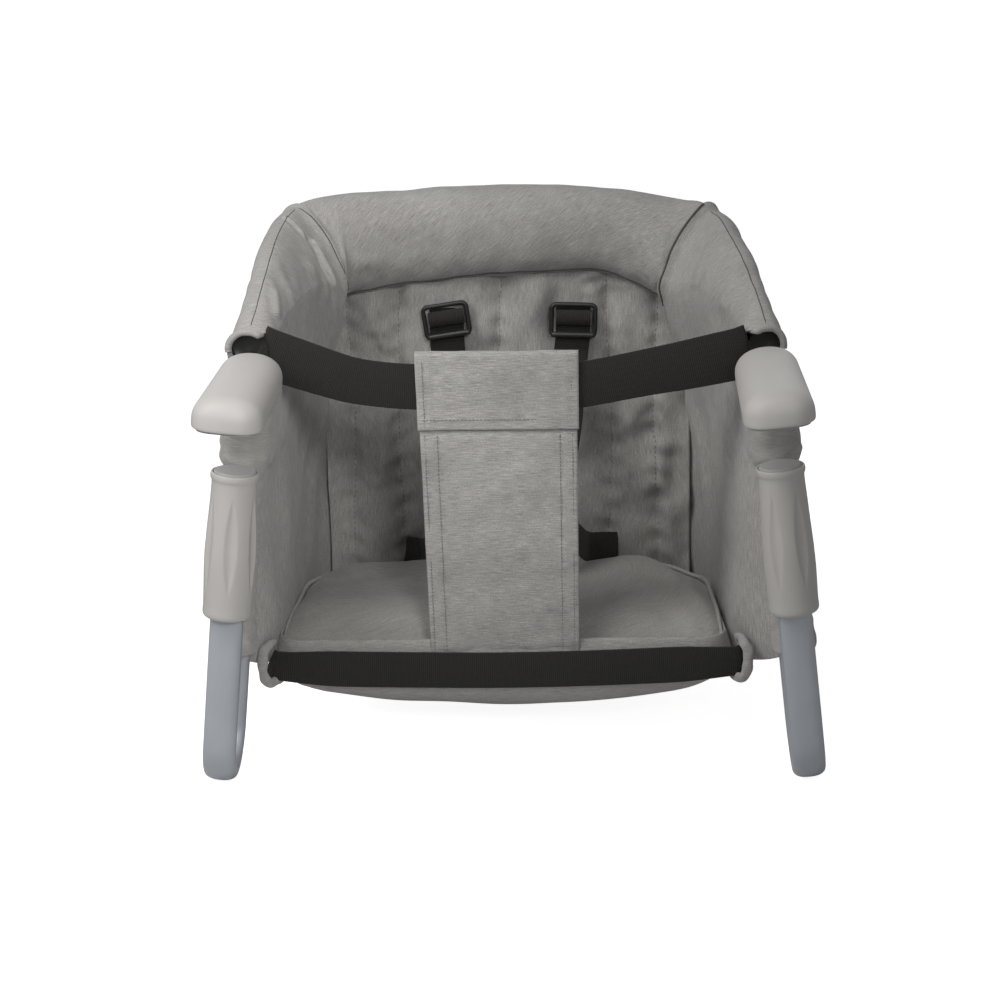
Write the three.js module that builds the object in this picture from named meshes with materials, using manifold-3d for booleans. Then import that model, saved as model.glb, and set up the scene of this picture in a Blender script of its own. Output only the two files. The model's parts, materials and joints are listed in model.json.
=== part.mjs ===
// Hook-on table chair: two folding clamp arms that grip a table top, a bent back
// frame tube, and a fabric seat with a padded back roll, front webbing and a harness.
// Millimetres, +Z up, -Y towards the table. The origin lies midway between the two
// arm pivots, level with the soles that rest on the table.
import * as THREE from 'three';
import { mergeVertices } from 'three/addons/utils/BufferGeometryUtils.js';
import Module from 'manifold-3d';

const wasm = await Module();
wasm.setup();

// General fits
const gap = 0.3;
const overrun = 2;
const weldDistance = 0.0001;
const fullTurn = 2 * Math.PI;
const quarterTurn = Math.PI / 2;
const X = new THREE.Vector3(1, 0, 0);
const Y = new THREE.Vector3(0, 1, 0);
const Z = new THREE.Vector3(0, 0, 1);

// Arm placing
const armSpan = 340;
const armLeanAngle = Math.PI / 30;
const legSpacing = 50;

// Arm cap, beam and sole
const capRearReach = 26;
const capRearRadius = 21;
const capFrontReach = 122;
const capFrontHalf = 22;
const capCornerRadius = 13;
const capHeight = 22;
const capShoulder = 10;
const capWall = 3;
const capLift = 1.2;
const capCrown = 8.5;
const soleHeight = 3;
const beamHalf = 11;
const beamHeight = 10;
const beamRearReach = 13;
const beamFrontReach = 109;
const beamRounding = 1.5;

// Pivot pin and its washer
const pinHeadRadius = 9;
const pinHeadHeight = 2.2;
const pinShankRadius = 6;
const collarRadius = 9.4;
const collarDrop = 3.6;
const journalRadius = 7;
const plugRadius = 4.5;
const plugLength = 26;
const washerHeight = 1.4;
const washerRadius = 10.5;

// Hinge housing on the back frame
const housingHeight = 68;
const barrelRadius = 10.6;
const webHalf = 5;
const webInset = 8;
const socketSetback = 36;
const socketRadius = 11;
const socketFloor = 6;

// Clamp tube, a flat oval section bent to a U
const tubeHalfWide = 11;
const tubeHalfThick = 6.5;
const tubeWall = 1.6;
const bendRadius = 25;
const tubeDrop = 264;
const frontLegDrop = 110;
const insertFlange = 3;
const insertDepth = 15;

// Screw clamp on the front leg
const screwRadius = 3;
const screwHeadRadius = 6.5;
const screwHeadHeight = 6;
const screwLength = 92;
const tableGap = 41;
const padRadius = 14;
const padHeight = 4.7;
const padProud = 1;
const padRounding = 1;
const spigotRadius = 2.5;
const spigotLength = 5;
const gripLength = 98;
const gripFloor = 4.5;
const gripBoreRadius = 12.2;
const gripRimRadius = 15.9;
const gripRimHeight = 4.6;
const gripWaistRadius = 14.9;
const gripBulgeRadius = 17;
const gripFootRadius = 15.6;
const gripFlareRadius = 16.3;
const gripChamfer = 1.2;
const fluteDepth = 1.7;
const fluteCount = 6;
const gripTurnAngle = { left: -0.42, right: 0 };

// Back frame tube
const frameRadius = 8;
const frameBend = 34;
const frameSlightBend = 160;
const frameCorner = 54;
const frameLevel = { front: 28, middle: 64, rear: 80 };
const frameMiddleDepth = 120;
const frameRearDepth = 196;
const frameMiddleInset = 10;
const frameRearInset = 18;
const coverShift = -9;

// Padded back roll
const rollHalfThick = 22;
const rollHalfHigh = 31;
const rollDrop = 9;
const rollStart = 150;

// Fabric cover, its tunnels and its quilted back
const clothThick = 3;
const sleeveThick = 1.8;
const sleeveLength = 175;
const sleeveFit = 0.8;
const coverRadius = 16;
const coverMouth = 30;
const coverMouthLevel = 20;
const coverDrop = 24;
const coverWaist = 88;
const coverSwell = 4;
const mitreInset = 37;
const mitreLevel = 58;
const mitreLeanAngle = Math.PI / 5.3;
const backThick = 13;
const backInset = 46;
const quiltDepth = 4;
const quiltInnerShare = 0.6;
const quiltOuterShare = 0.9;

// Seat pad, board and sling
const seatInset = 18;
const seatRearInset = 25;
const seatFront = 34;
const seatRear = 190;
const seatCorner = 52;
const seatFrontCorner = 16;
const seatDrop = 179;
const seatCrown = 11;
const seatPadThick = 26;
const seatEdge = 9;
const boardThick = 4;
const boardInset = 2;
const slingOutset = 0.6;
const slingRim = 16;
const slingDrop = 27;

// Front webbing and the panel between the legs
const webThick = 1.6;
const frontStrapHigh = 30;
const frontStrapDepth = 26;
const frontStrapEnd = 16;
const frontStrapSag = 18;
const lowerStrapHigh = 27;
const lowerStrapDrop = 24;
const lowerStrapInset = 10;
const lowerStrapShift = -6;
const loopWide = 10;
const panelHalf = 53;
const panelTaper = 1.5;
const panelThick = 2.2;
const flapDrop = 34;
const panelDrop = 18;
const rivetRadius = 2.6;
const rivetLength = 1.4;

// Harness
const harnessWide = 25;
const harnessThick = 1.4;
const harnessHalfSpan = 46;
const harnessShift = -4.5;
const harnessTop = 17;
const harnessBreak = -24;
const adjusterWide = 36;
const adjusterHigh = 30;
const adjusterThick = 4.2;
const adjusterBar = 5;
const adjusterSide = 4;
const adjusterCorner = 3;
const adjusterLevel = 5;
const waistWide = 20;
const waistHalfSpan = 79;
const waistRise = 20;
const crotchLength = 21;
const buckleDepth = 118;
const buckleHalfWide = 20;
const buckleHalfHigh = 21;
const buckleHalfThick = 8;
const buckleRounding = 3;
const buttonRadius = 9;
const buttonTravel = 3;
const buttonProud = 1.5;
const tongueHalfHigh = 12;
const tongueNeckHalf = 8;
const tongueReach = 22;
const tongueInside = 10;
const tongueHalfThick = 2;
const tongueBar = 4;

// Facet counts
const roundSteps = 16;
const bendSteps = 6;
const gripSteps = 30;

// Colours seen in the photograph
const finish = {
  cap: new THREE.MeshStandardMaterial({ color: 0xd0cdc8, roughness: 0.55, metalness: 0 }),
  grip: new THREE.MeshStandardMaterial({ color: 0xb2aea8, roughness: 0.5, metalness: 0 }),
  rubber: new THREE.MeshStandardMaterial({ color: 0xa9a6a1, roughness: 0.8, metalness: 0 }),
  alloy: new THREE.MeshStandardMaterial({ color: 0xa5aab0, roughness: 0.4, metalness: 0.3 }),
  steel: new THREE.MeshStandardMaterial({ color: 0xb9bbbd, roughness: 0.3, metalness: 1 }),
  black: new THREE.MeshStandardMaterial({ color: 0x1b1b1c, roughness: 0.5, metalness: 0 }),
  webbing: new THREE.MeshStandardMaterial({ color: 0x1e1e1f, roughness: 0.85, metalness: 0 }),
  cloth: new THREE.MeshStandardMaterial({ color: 0x8d8a87, roughness: 0.95, metalness: 0 }),
  board: new THREE.MeshStandardMaterial({ color: 0x3a3a3c, roughness: 0.7, metalness: 0 }),
};

// Solids made from rings and outlines
function at(x, y, z) {
  return new THREE.Vector3(x, y, z);
}

function stripped(geometry) {
  const bare = geometry.clone();
  bare.deleteAttribute('normal');
  bare.deleteAttribute('uv');
  return mergeVertices(bare, weldDistance);
}

function solidFrom(geometry) {
  const merged = stripped(geometry);
  const triVerts = new Uint32Array(merged.index.array);
  const vertProperties = new Float32Array(merged.attributes.position.array);
  return new wasm.Manifold(new wasm.Mesh({ numProp: 3, vertProperties, triVerts }));
}

function geometryFrom(solid) {
  const mesh = solid.getMesh();
  const geometry = new THREE.BufferGeometry();
  geometry.setAttribute('position', new THREE.BufferAttribute(new Float32Array(mesh.vertProperties), 3));
  geometry.setIndex(new THREE.BufferAttribute(new Uint32Array(mesh.triVerts), 1));
  geometry.computeVertexNormals();
  return geometry;
}

function joined(first, ...others) {
  return geometryFrom(others.reduce((sum, piece) => sum.add(solidFrom(piece)), solidFrom(first)));
}

function cut(piece, ...tools) {
  return geometryFrom(tools.reduce((sum, tool) => sum.subtract(solidFrom(tool)), solidFrom(piece)));
}

function signedVolume(points, faces) {
  let sum = 0;
  for (let i = 0; i < faces.length; i += 3) {
    const [a, b, c] = [points[faces[i]], points[faces[i + 1]], points[faces[i + 2]]];
    sum += a.dot(new THREE.Vector3().crossVectors(b, c));
  }
  return sum;
}

function closedGeometry(points, faces) {
  if (signedVolume(points, faces) < 0) {
    faces.reverse();
  }
  const geometry = new THREE.BufferGeometry();
  const flat = points.flatMap((p) => [p.x, p.y, p.z]);
  geometry.setAttribute('position', new THREE.Float32BufferAttribute(flat, 3));
  geometry.setIndex(faces);
  geometry.computeVertexNormals();
  return geometry;
}

function middleOf(ring) {
  const sum = at(0, 0, 0);
  ring.forEach((p) => sum.add(p));
  return sum.divideScalar(ring.length);
}

// Skin over a row of rings with as many points each, closed by a fan at both ends
function loft(rings) {
  const count = rings[0].length;
  const points = rings.flat();
  const faces = [];
  for (let r = 0; r + 1 < rings.length; r += 1) {
    for (let i = 0; i < count; i += 1) {
      const a = r * count + i;
      const b = r * count + ((i + 1) % count);
      faces.push(a, b, b + count, a, b + count, a + count);
    }
  }
  const first = points.length;
  const last = (rings.length - 1) * count;
  points.push(middleOf(rings[0]), middleOf(rings[rings.length - 1]));
  for (let i = 0; i < count; i += 1) {
    faces.push(first, (i + 1) % count, i);
    faces.push(first + 1, last + i, last + ((i + 1) % count));
  }
  return closedGeometry(points, faces);
}

// Solid of revolution about Z from a closed profile of [radius, height] pairs
function turned(profile, steps = roundSteps) {
  const outline = [...profile, profile[0]].map(([radius, height]) => new THREE.Vector2(radius, height));
  const geometry = stripped(new THREE.LatheGeometry(outline, steps).rotateX(quarterTurn));
  const position = geometry.attributes.position;
  const points = [];
  for (let i = 0; i < position.count; i += 1) {
    points.push(at(position.getX(i), position.getY(i), position.getZ(i)));
  }
  const faces = [];
  const index = Array.from(geometry.index.array);
  for (let i = 0; i < index.length; i += 3) {
    const corners = index.slice(i, i + 3);
    if (new Set(corners).size === corners.length) {
      faces.push(...corners);
    }
  }
  return closedGeometry(points, faces);
}

function rod(radius, low, high, steps = roundSteps) {
  return turned([[0, low], [radius, low], [radius, high], [0, high]], steps);
}

function block(low, high) {
  const size = high.clone().sub(low);
  const middle = high.clone().add(low).divideScalar(2);
  return new THREE.BoxGeometry(size.x, size.y, size.z).translate(middle.x, middle.y, middle.z);
}

// Points of an arc in a plane, as [across, along] pairs
function arc(across, along, radius, start, end, steps) {
  const points = [];
  for (let i = 0; i <= steps; i += 1) {
    const angle = start + ((end - start) * i) / steps;
    points.push([across + radius * Math.cos(angle), along + radius * Math.sin(angle)]);
  }
  return points;
}

function level(outline, height) {
  return outline.map(([x, y]) => at(x, y, height));
}

// A flat plate or slab from outlines at rising heights
function stack(outlineAt, steps) {
  return loft(steps.map(([inset, height]) => level(outlineAt(inset), height)));
}

// Flat oval with straight flanks and round ends
function ovalOutline(halfWide, halfThick, steps = 6) {
  const reach = halfWide - halfThick;
  return [
    ...arc(reach, 0, halfThick, -quarterTurn, quarterTurn, steps),
    ...arc(-reach, 0, halfThick, quarterTurn, 3 * quarterTurn, steps),
  ];
}

function roundOutline(halfWide, halfHigh, steps, fullnessShare = 1) {
  const soften = (value) => Math.sign(value) * Math.abs(value) ** fullnessShare;
  const points = [];
  for (let i = 0; i < steps; i += 1) {
    const angle = (fullTurn * i) / steps;
    points.push([halfWide * soften(Math.cos(angle)), halfHigh * soften(Math.sin(angle))]);
  }
  return points;
}

function withDirections(points) {
  return points.map((point, i) => {
    const before = points[Math.max(0, i - 1)];
    const after = points[Math.min(points.length - 1, i + 1)];
    const into = point.clone().sub(before).normalize();
    const out = after.clone().sub(point).normalize();
    return { point, along: into.add(out).normalize() };
  });
}

// Straight runs joined by round bends
function bentPath(corners, radii) {
  const points = [corners[0].clone()];
  radii.forEach((radius, i) => {
    const corner = corners[i + 1];
    const back = corners[i].clone().sub(corner).normalize();
    const ahead = corners[i + 2].clone().sub(corner).normalize();
    const turn = Math.PI - back.angleTo(ahead);
    const centre = corner.clone()
      .addScaledVector(back.clone().add(ahead).normalize(), radius / Math.cos(turn / 2));
    const start = corner.clone().addScaledVector(back, radius * Math.tan(turn / 2)).sub(centre);
    const axis = ahead.clone().cross(back).normalize();
    const steps = Math.max(2, Math.ceil((bendSteps * turn) / quarterTurn));
    for (let k = 0; k <= steps; k += 1) {
      points.push(start.clone().applyAxisAngle(axis, (turn * k) / steps).add(centre));
    }
  });
  points.push(corners[corners.length - 1].clone());
  return withDirections(points);
}

// An outline carried along a path; side is its across direction at the start
function swept(path, outline, side) {
  const across = side.clone();
  return loft(path.map(({ point, along }) => {
    across.addScaledVector(along, -across.dot(along)).normalize();
    const up = along.clone().cross(across);
    return outline.map(([a, b]) => point.clone().addScaledVector(across, a).addScaledVector(up, b));
  }));
}

// A flat ribbon whose points run through its middle; upright is the way its width stands
function ribbon(points, wide, thick, upright) {
  return loft(withDirections(points).map(({ point, along }) => {
    const out = along.clone().cross(upright).normalize();
    const up = out.clone().cross(along).normalize();
    return [[1, 1], [-1, 1], [-1, -1], [1, -1]].map(([a, b]) => point.clone()
      .addScaledVector(out, (a * thick) / 2)
      .addScaledVector(up, (b * wide) / 2));
  }));
}

function add(parent, name, geometry, material) {
  const mesh = new THREE.Mesh(geometry, material);
  mesh.name = name;
  parent.add(mesh);
}

// Half widths, which follow the spacing of the arms
const armHalf = armSpan / 2;
const frameMiddleHalf = armHalf - frameMiddleInset;
const frameRearHalf = armHalf - frameRearInset;
const mitreHalf = armHalf - mitreInset;
const backHalf = armHalf - backInset;
const seatHalf = armHalf - seatInset;
const seatRearHalf = armHalf - seatRearInset;
const lowerStrapHalf = armHalf - lowerStrapInset;

// Heights in an arm's own frame, which leans with its post
const beamBottom = soleHeight + gap;
const beamTop = beamBottom + beamHeight;
const pinTop = beamTop + gap + pinHeadHeight;
const housingTop = -(collarDrop + gap);
const housingBottom = housingTop - housingHeight;
const washerTop = housingBottom - gap;
const journalBottom = washerTop - washerHeight;
const rearLegTop = journalBottom - gap;
const insertTop = insertFlange + gap - frontLegDrop;
const gripTop = -(tableGap + padProud);
const gripBottom = gripTop - gripLength;
const padSeat = -(tableGap + padHeight + gap);
const screwTop = padSeat - gap;
const seatLevel = -seatDrop;
const waistLevel = seatLevel + waistRise;
const lowerStrapLevel = seatLevel - lowerStrapDrop;
const panelBottom = seatLevel - panelDrop;
const crotchBottom = seatLevel + seatCrown + gap;
const buckleLevel = crotchBottom + crotchLength + gap + buckleHalfHigh;
const sleeveTop = housingTop - 2 * gap;
const backTop = frameLevel.rear - rollDrop - rollHalfHigh - 2 * gap;

// Arm cap: a soft moulded shell, round behind the pivot and blunt in front
function capOutline(inset) {
  const corner = capCornerRadius - inset;
  const x = capFrontHalf - capCornerRadius;
  const y = capCornerRadius - capFrontReach;
  return [
    ...arc(0, capRearReach - capRearRadius, capRearRadius - inset, 0, Math.PI, 10),
    ...arc(-x, y, corner, Math.PI, 3 * quarterTurn, 4),
    ...arc(x, y, corner, 3 * quarterTurn, fullTurn, 4),
  ];
}

function armCap() {
  const domeShares = [[0, 0], [0.05, 0.25], [0.2, 0.55], [0.5, 0.83], [1, 1]];
  const dome = domeShares.map(([insetShare, riseShare]) => [
    capCrown * insetShare,
    capShoulder + (capHeight - capShoulder) * riseShare,
  ]);
  const skin = stack(capOutline, [[0, capLift], ...dome]);
  const hollow = stack(capOutline, [[capWall, capLift - overrun], [capWall, pinTop + gap]]);
  return cut(skin, hollow);
}

// Sole: the flat rubber face that lies on the table
function sole() {
  const pad = stack(capOutline, [[capWall + gap, 0], [capWall + gap, soleHeight]]);
  return cut(pad, rod(collarRadius + gap, -overrun, soleHeight + overrun));
}

function armBeam() {
  const outlineAt = (inset) => [
    ...arc(0, beamRearReach - beamHalf, beamHalf - inset, 0, Math.PI, 6),
    ...arc(0, beamHalf - beamFrontReach, beamHalf - inset, Math.PI, fullTurn, 6),
  ];
  const bar = stack(outlineAt, [
    [beamRounding, beamBottom],
    [0, beamBottom + beamRounding],
    [0, beamTop - beamRounding],
    [beamRounding, beamTop],
  ]);
  return cut(bar, rod(pinShankRadius + gap, beamBottom - overrun, beamTop + overrun));
}

// Pivot pin: head over the beam, collar on the housing, journal in it, plug in the tube
function pivotPin() {
  return turned([
    [0, pinTop], [pinHeadRadius, pinTop],
    [pinHeadRadius, beamTop + gap], [pinShankRadius, beamTop + gap],
    [pinShankRadius, soleHeight], [collarRadius, soleHeight],
    [collarRadius, -collarDrop], [journalRadius, -collarDrop],
    [journalRadius, journalBottom], [plugRadius, journalBottom],
    [plugRadius, journalBottom - plugLength], [0, journalBottom - plugLength],
  ]);
}

function thrustWasher() {
  const bore = journalRadius + gap;
  return turned([
    [bore, journalBottom], [washerRadius, journalBottom],
    [washerRadius, washerTop], [bore, washerTop],
  ]);
}

// Clamp tube: the post, a half round bend and the front leg, hollow and open at both ends
function clampTubePath(overshoot) {
  const bottom = bendRadius + tubeHalfThick - tubeDrop;
  const points = [at(0, 0, rearLegTop + overshoot)];
  arc(-bendRadius, bottom, bendRadius, 0, -Math.PI, 2 * bendSteps)
    .forEach(([y, z]) => points.push(at(0, y, z)));
  points.push(at(0, -legSpacing, -frontLegDrop + overshoot));
  return withDirections(points);
}

function clampTube() {
  const bore = ovalOutline(tubeHalfWide - tubeWall, tubeHalfThick - tubeWall);
  return cut(
    swept(clampTubePath(0), ovalOutline(tubeHalfWide, tubeHalfThick), X),
    swept(clampTubePath(overrun), bore, X),
  );
}

// Threaded insert: a flanged oval plug in the top of the front leg
function threadInsert() {
  const fit = tubeWall + gap;
  const outlineAt = (inset) => ovalOutline(tubeHalfWide - inset, tubeHalfThick - inset);
  const plug = stack(outlineAt, [
    [fit, -frontLegDrop - insertDepth], [fit, gap - frontLegDrop],
    [0, gap - frontLegDrop], [0, insertTop],
  ]);
  return cut(plug, rod(screwRadius + gap, -frontLegDrop - insertDepth - overrun, insertTop + overrun));
}

// Twist grip: a fluted sleeve that turns on the front leg and climbs its screw
const bellyRiseShare = 0.3;
const fluteStartShare = 0.2;
const fluteRunShare = 0.65;
const fluteWideShare = 0.85;

function gripRadius(share, angle) {
  const shape = new THREE.CubicBezierCurve(
    new THREE.Vector2(0, gripWaistRadius),
    new THREE.Vector2(bellyRiseShare, gripWaistRadius),
    new THREE.Vector2(bellyRiseShare, gripBulgeRadius + (gripBulgeRadius - gripFootRadius) / 2),
    new THREE.Vector2(1, gripFootRadius),
  ).getPoint(share).y;
  const runShare = (share - fluteStartShare) / fluteRunShare;
  if (runShare <= 0 || runShare >= 1) {
    return shape;
  }
  const swell = Math.sin(Math.PI * runShare);
  const turn = (angle * fluteCount) / fullTurn;
  const offCentreShare = Math.abs(turn - Math.round(turn)) * 2;
  const wideShare = fluteWideShare * swell ** (2 / 3);
  return shape - fluteDepth * swell * Math.max(0, 1 - (offCentreShare / wideShare) ** 2);
}

function twistGrip(turnAngle) {
  const ringAt = (depth, radiusAt) => {
    const ring = [];
    for (let i = 0; i < gripSteps; i += 1) {
      const angle = (fullTurn * i) / gripSteps;
      ring.push(at(radiusAt(angle), 0, gripTop - depth).applyAxisAngle(Z, angle + turnAngle));
    }
    return ring;
  };
  const body = [
    ringAt(0, () => gripRimRadius - gap),
    ringAt(gap, () => gripRimRadius),
    ringAt(gripRimHeight, () => gripRimRadius),
  ];
  const first = gripRimHeight + gripChamfer;
  const run = gripLength - first - 2 * gripChamfer;
  const rows = 11;
  for (let k = 0; k <= rows; k += 1) {
    body.push(ringAt(first + (run * k) / rows, (angle) => gripRadius(k / rows, angle)));
  }
  body.push(ringAt(gripLength - gripChamfer, () => gripFlareRadius));
  body.push(ringAt(gripLength, () => gripFlareRadius - gripChamfer));
  const pocketFloor = screwTop - screwHeadHeight - gap;
  const bore = turned([
    [0, gripBottom - overrun], [gripBoreRadius, gripBottom - overrun],
    [gripBoreRadius, pocketFloor - gripFloor], [screwRadius + gap, pocketFloor - gripFloor],
    [screwRadius + gap, pocketFloor], [screwHeadRadius + gap, pocketFloor],
    [screwHeadRadius + gap, padSeat], [padRadius + gap, padSeat],
    [padRadius + gap, gripTop + overrun], [0, gripTop + overrun],
  ]);
  return cut(loft(body), bore);
}

// Clamp screw: a socket-headed screw held in the grip's head
function clampScrew() {
  const headBottom = screwTop - screwHeadHeight;
  const shank = rod(screwRadius, headBottom - screwLength, headBottom + screwHeadHeight / 2, 12);
  const head = rod(screwHeadRadius, headBottom, screwTop, 6);
  return cut(joined(head, shank), rod(spigotRadius + gap, screwTop - spigotLength, screwTop + overrun, 12));
}

// Clamp pad: a rubber disc that presses on the underside of the table
function clampPad() {
  const bottom = padSeat + gap;
  return turned([
    [0, -tableGap], [padRadius - padRounding, -tableGap],
    [padRadius, -tableGap - padRounding], [padRadius, bottom + padRounding],
    [padRadius - padRounding, bottom], [spigotRadius, bottom],
    [spigotRadius, screwTop - spigotLength + gap], [0, screwTop - spigotLength + gap],
  ]);
}

// Hinge housing: a barrel round the pivot pin and a socket for the back frame tube
function housingBody(growth) {
  const barrel = rod(barrelRadius + growth, housingBottom - growth, housingTop + growth);
  const socket = rod(socketRadius + growth, housingBottom - growth, housingTop + growth)
    .translate(0, socketSetback, 0);
  const web = block(
    at(-webHalf - growth, 0, housingBottom + webInset - growth),
    at(webHalf + growth, socketSetback, housingTop - webInset + growth),
  );
  return joined(barrel, socket, web);
}

function hingeHousing() {
  const bore = rod(journalRadius + gap, housingBottom - overrun, housingTop + overrun);
  const socketBore = rod(frameRadius + gap, housingBottom + socketFloor, housingTop + overrun)
    .translate(0, socketSetback, 0);
  return cut(housingBody(0), bore, socketBore);
}

// Post sleeve: the fabric channel round the housing barrel and the post
function postSleeve() {
  const inner = Math.max(barrelRadius, tubeHalfWide) + sleeveFit;
  const outer = inner + sleeveThick;
  const tube = turned([
    [inner, sleeveTop - sleeveLength], [outer, sleeveTop - sleeveLength],
    [outer, sleeveTop], [inner, sleeveTop],
  ]);
  const slot = block(
    at(-webHalf - gap, 0, housingBottom + webInset - gap),
    at(webHalf + gap, outer + overrun, housingTop - webInset + gap),
  );
  return cut(tube, slot);
}

const sides = { left: -1, right: 1 };

// A point of the leaning arm frame in the frame of the chair
function armPoint(side, x, y, z) {
  return at(x, y, z).applyAxisAngle(Y, -side * armLeanAngle).add(at(side * armHalf, 0, 0));
}

// Back frame tube: up from one housing, back along the side, across and down again
function frameCorners(side) {
  const middleShift = (coverShift * frameMiddleDepth) / frameRearDepth;
  return [
    armPoint(side, 0, socketSetback, housingBottom + socketFloor + gap),
    armPoint(side, 0, socketSetback, frameLevel.front),
    at(side * frameMiddleHalf + middleShift, frameMiddleDepth, frameLevel.middle),
    at(side * frameRearHalf + coverShift, frameRearDepth, frameLevel.rear),
  ];
}

const framePath = bentPath(
  [...frameCorners(-1), ...frameCorners(1).reverse()],
  [frameBend, frameSlightBend, frameCorner, frameCorner, frameSlightBend, frameBend],
);

// Where the frame tube crosses a depth, on one side
function pathStation(side, depth) {
  const half = framePath.filter(({ point }) => point.x * side > 0);
  const ordered = side < 0 ? half : [...half].reverse();
  const next = ordered.findIndex(({ point }) => point.y > depth);
  const [from, to] = [ordered[next - 1].point, ordered[next].point];
  return from.clone().lerp(to, (depth - from.y) / (to.y - from.y));
}

function frameRun(radius) {
  return swept(framePath, roundOutline(radius, radius, 12), X);
}

// Everything outside (1) or inside (-1) the mitred seam between a side cover and the back roll
function mitreBlock(side, outside) {
  const reach = frameRearHalf;
  const low = at(outside * side > 0 ? -gap / 2 : -reach, rollStart - reach, -reach);
  const high = at(outside * side > 0 ? reach : gap / 2, rollStart + reach, reach);
  return block(low, high)
    .rotateY(side * mitreLeanAngle)
    .translate(side * mitreHalf + coverShift / 2, 0, mitreLevel);
}

// Padded back roll round the tube's rear run, cut off at the two mitred seams
const rollFullnessShare = 0.8;

function backRoll() {
  const middle = framePath.map(({ point }) => point).filter((point) => point.y > rollStart);
  const line = [pathStation(-1, rollStart), ...middle, pathStation(1, rollStart)];
  const lowered = withDirections(line.map((point) => point.clone().add(at(0, 0, -rollDrop))));
  const body = swept(lowered, roundOutline(rollHalfThick, rollHalfHigh, 16, rollFullnessShare), at(-1, 0, 0));
  return cut(body, frameRun(frameRadius + gap), mitreBlock(-1, 1), mitreBlock(1, 1));
}

// Side cover: a wall of cloth from the post to the back, with a full roll round the tube
const sleeveRadius = Math.max(barrelRadius, tubeHalfWide) + sleeveFit + sleeveThick;
const slingOuter = slingOutset + 2 * clothThick;
// share of the run back to the roll; roll's outer, upper and inner size as shares of its radius
const coverRunShares = [
  [0.12, 1, 0.94, 0.8], [0.3, 1.02, 0.98, 0.85], [0.55, 1, 1.04, 1.1],
  [0.8, 0.94, 1.12, 1.4], [1, 0.94, 1.2, 1.5],
];
// share of the quarter turn round the corner; the same three sizes; depth of the foot's turn
const coverTurnShares = [[0.35, 1.06, 1.34, 1.6, 0.3], [0.7, 1.2, 1.5, 1.6, 0.75], [1, 1.25, 1.5, 1.5, 1]];
const underRollShare = 0.7;
const upperFlankShare = 0.78;
const upperRiseShare = 0.62;
const waistPullShare = 0.6;

// One closed section of a side cover: up its inner face, over the roll and down its outer face
function coverSection(middle, outward, sizeShares, under, waist, foot) {
  const [out, rise, inner] = sizeShares.map((share) => coverRadius * share);
  const half = clothThick / 2;
  const flank = middle.z + rise * upperRiseShare;
  const spot = (base, aside, height) => at(base.x + outward.x * aside, base.y + outward.y * aside, height);
  return [
    spot(foot, -half, foot.z), spot(waist, -half - coverSwell, waist.z),
    spot(under, -inner * underRollShare, under.z), spot(middle, -inner, middle.z),
    spot(middle, -inner * upperFlankShare, flank), spot(middle, 0, middle.z + rise),
    spot(middle, out * upperFlankShare, flank), spot(middle, out, middle.z),
    spot(under, out * underRollShare, under.z), spot(waist, half + coverSwell / 2, waist.z),
    spot(foot, half, foot.z),
  ];
}

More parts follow.
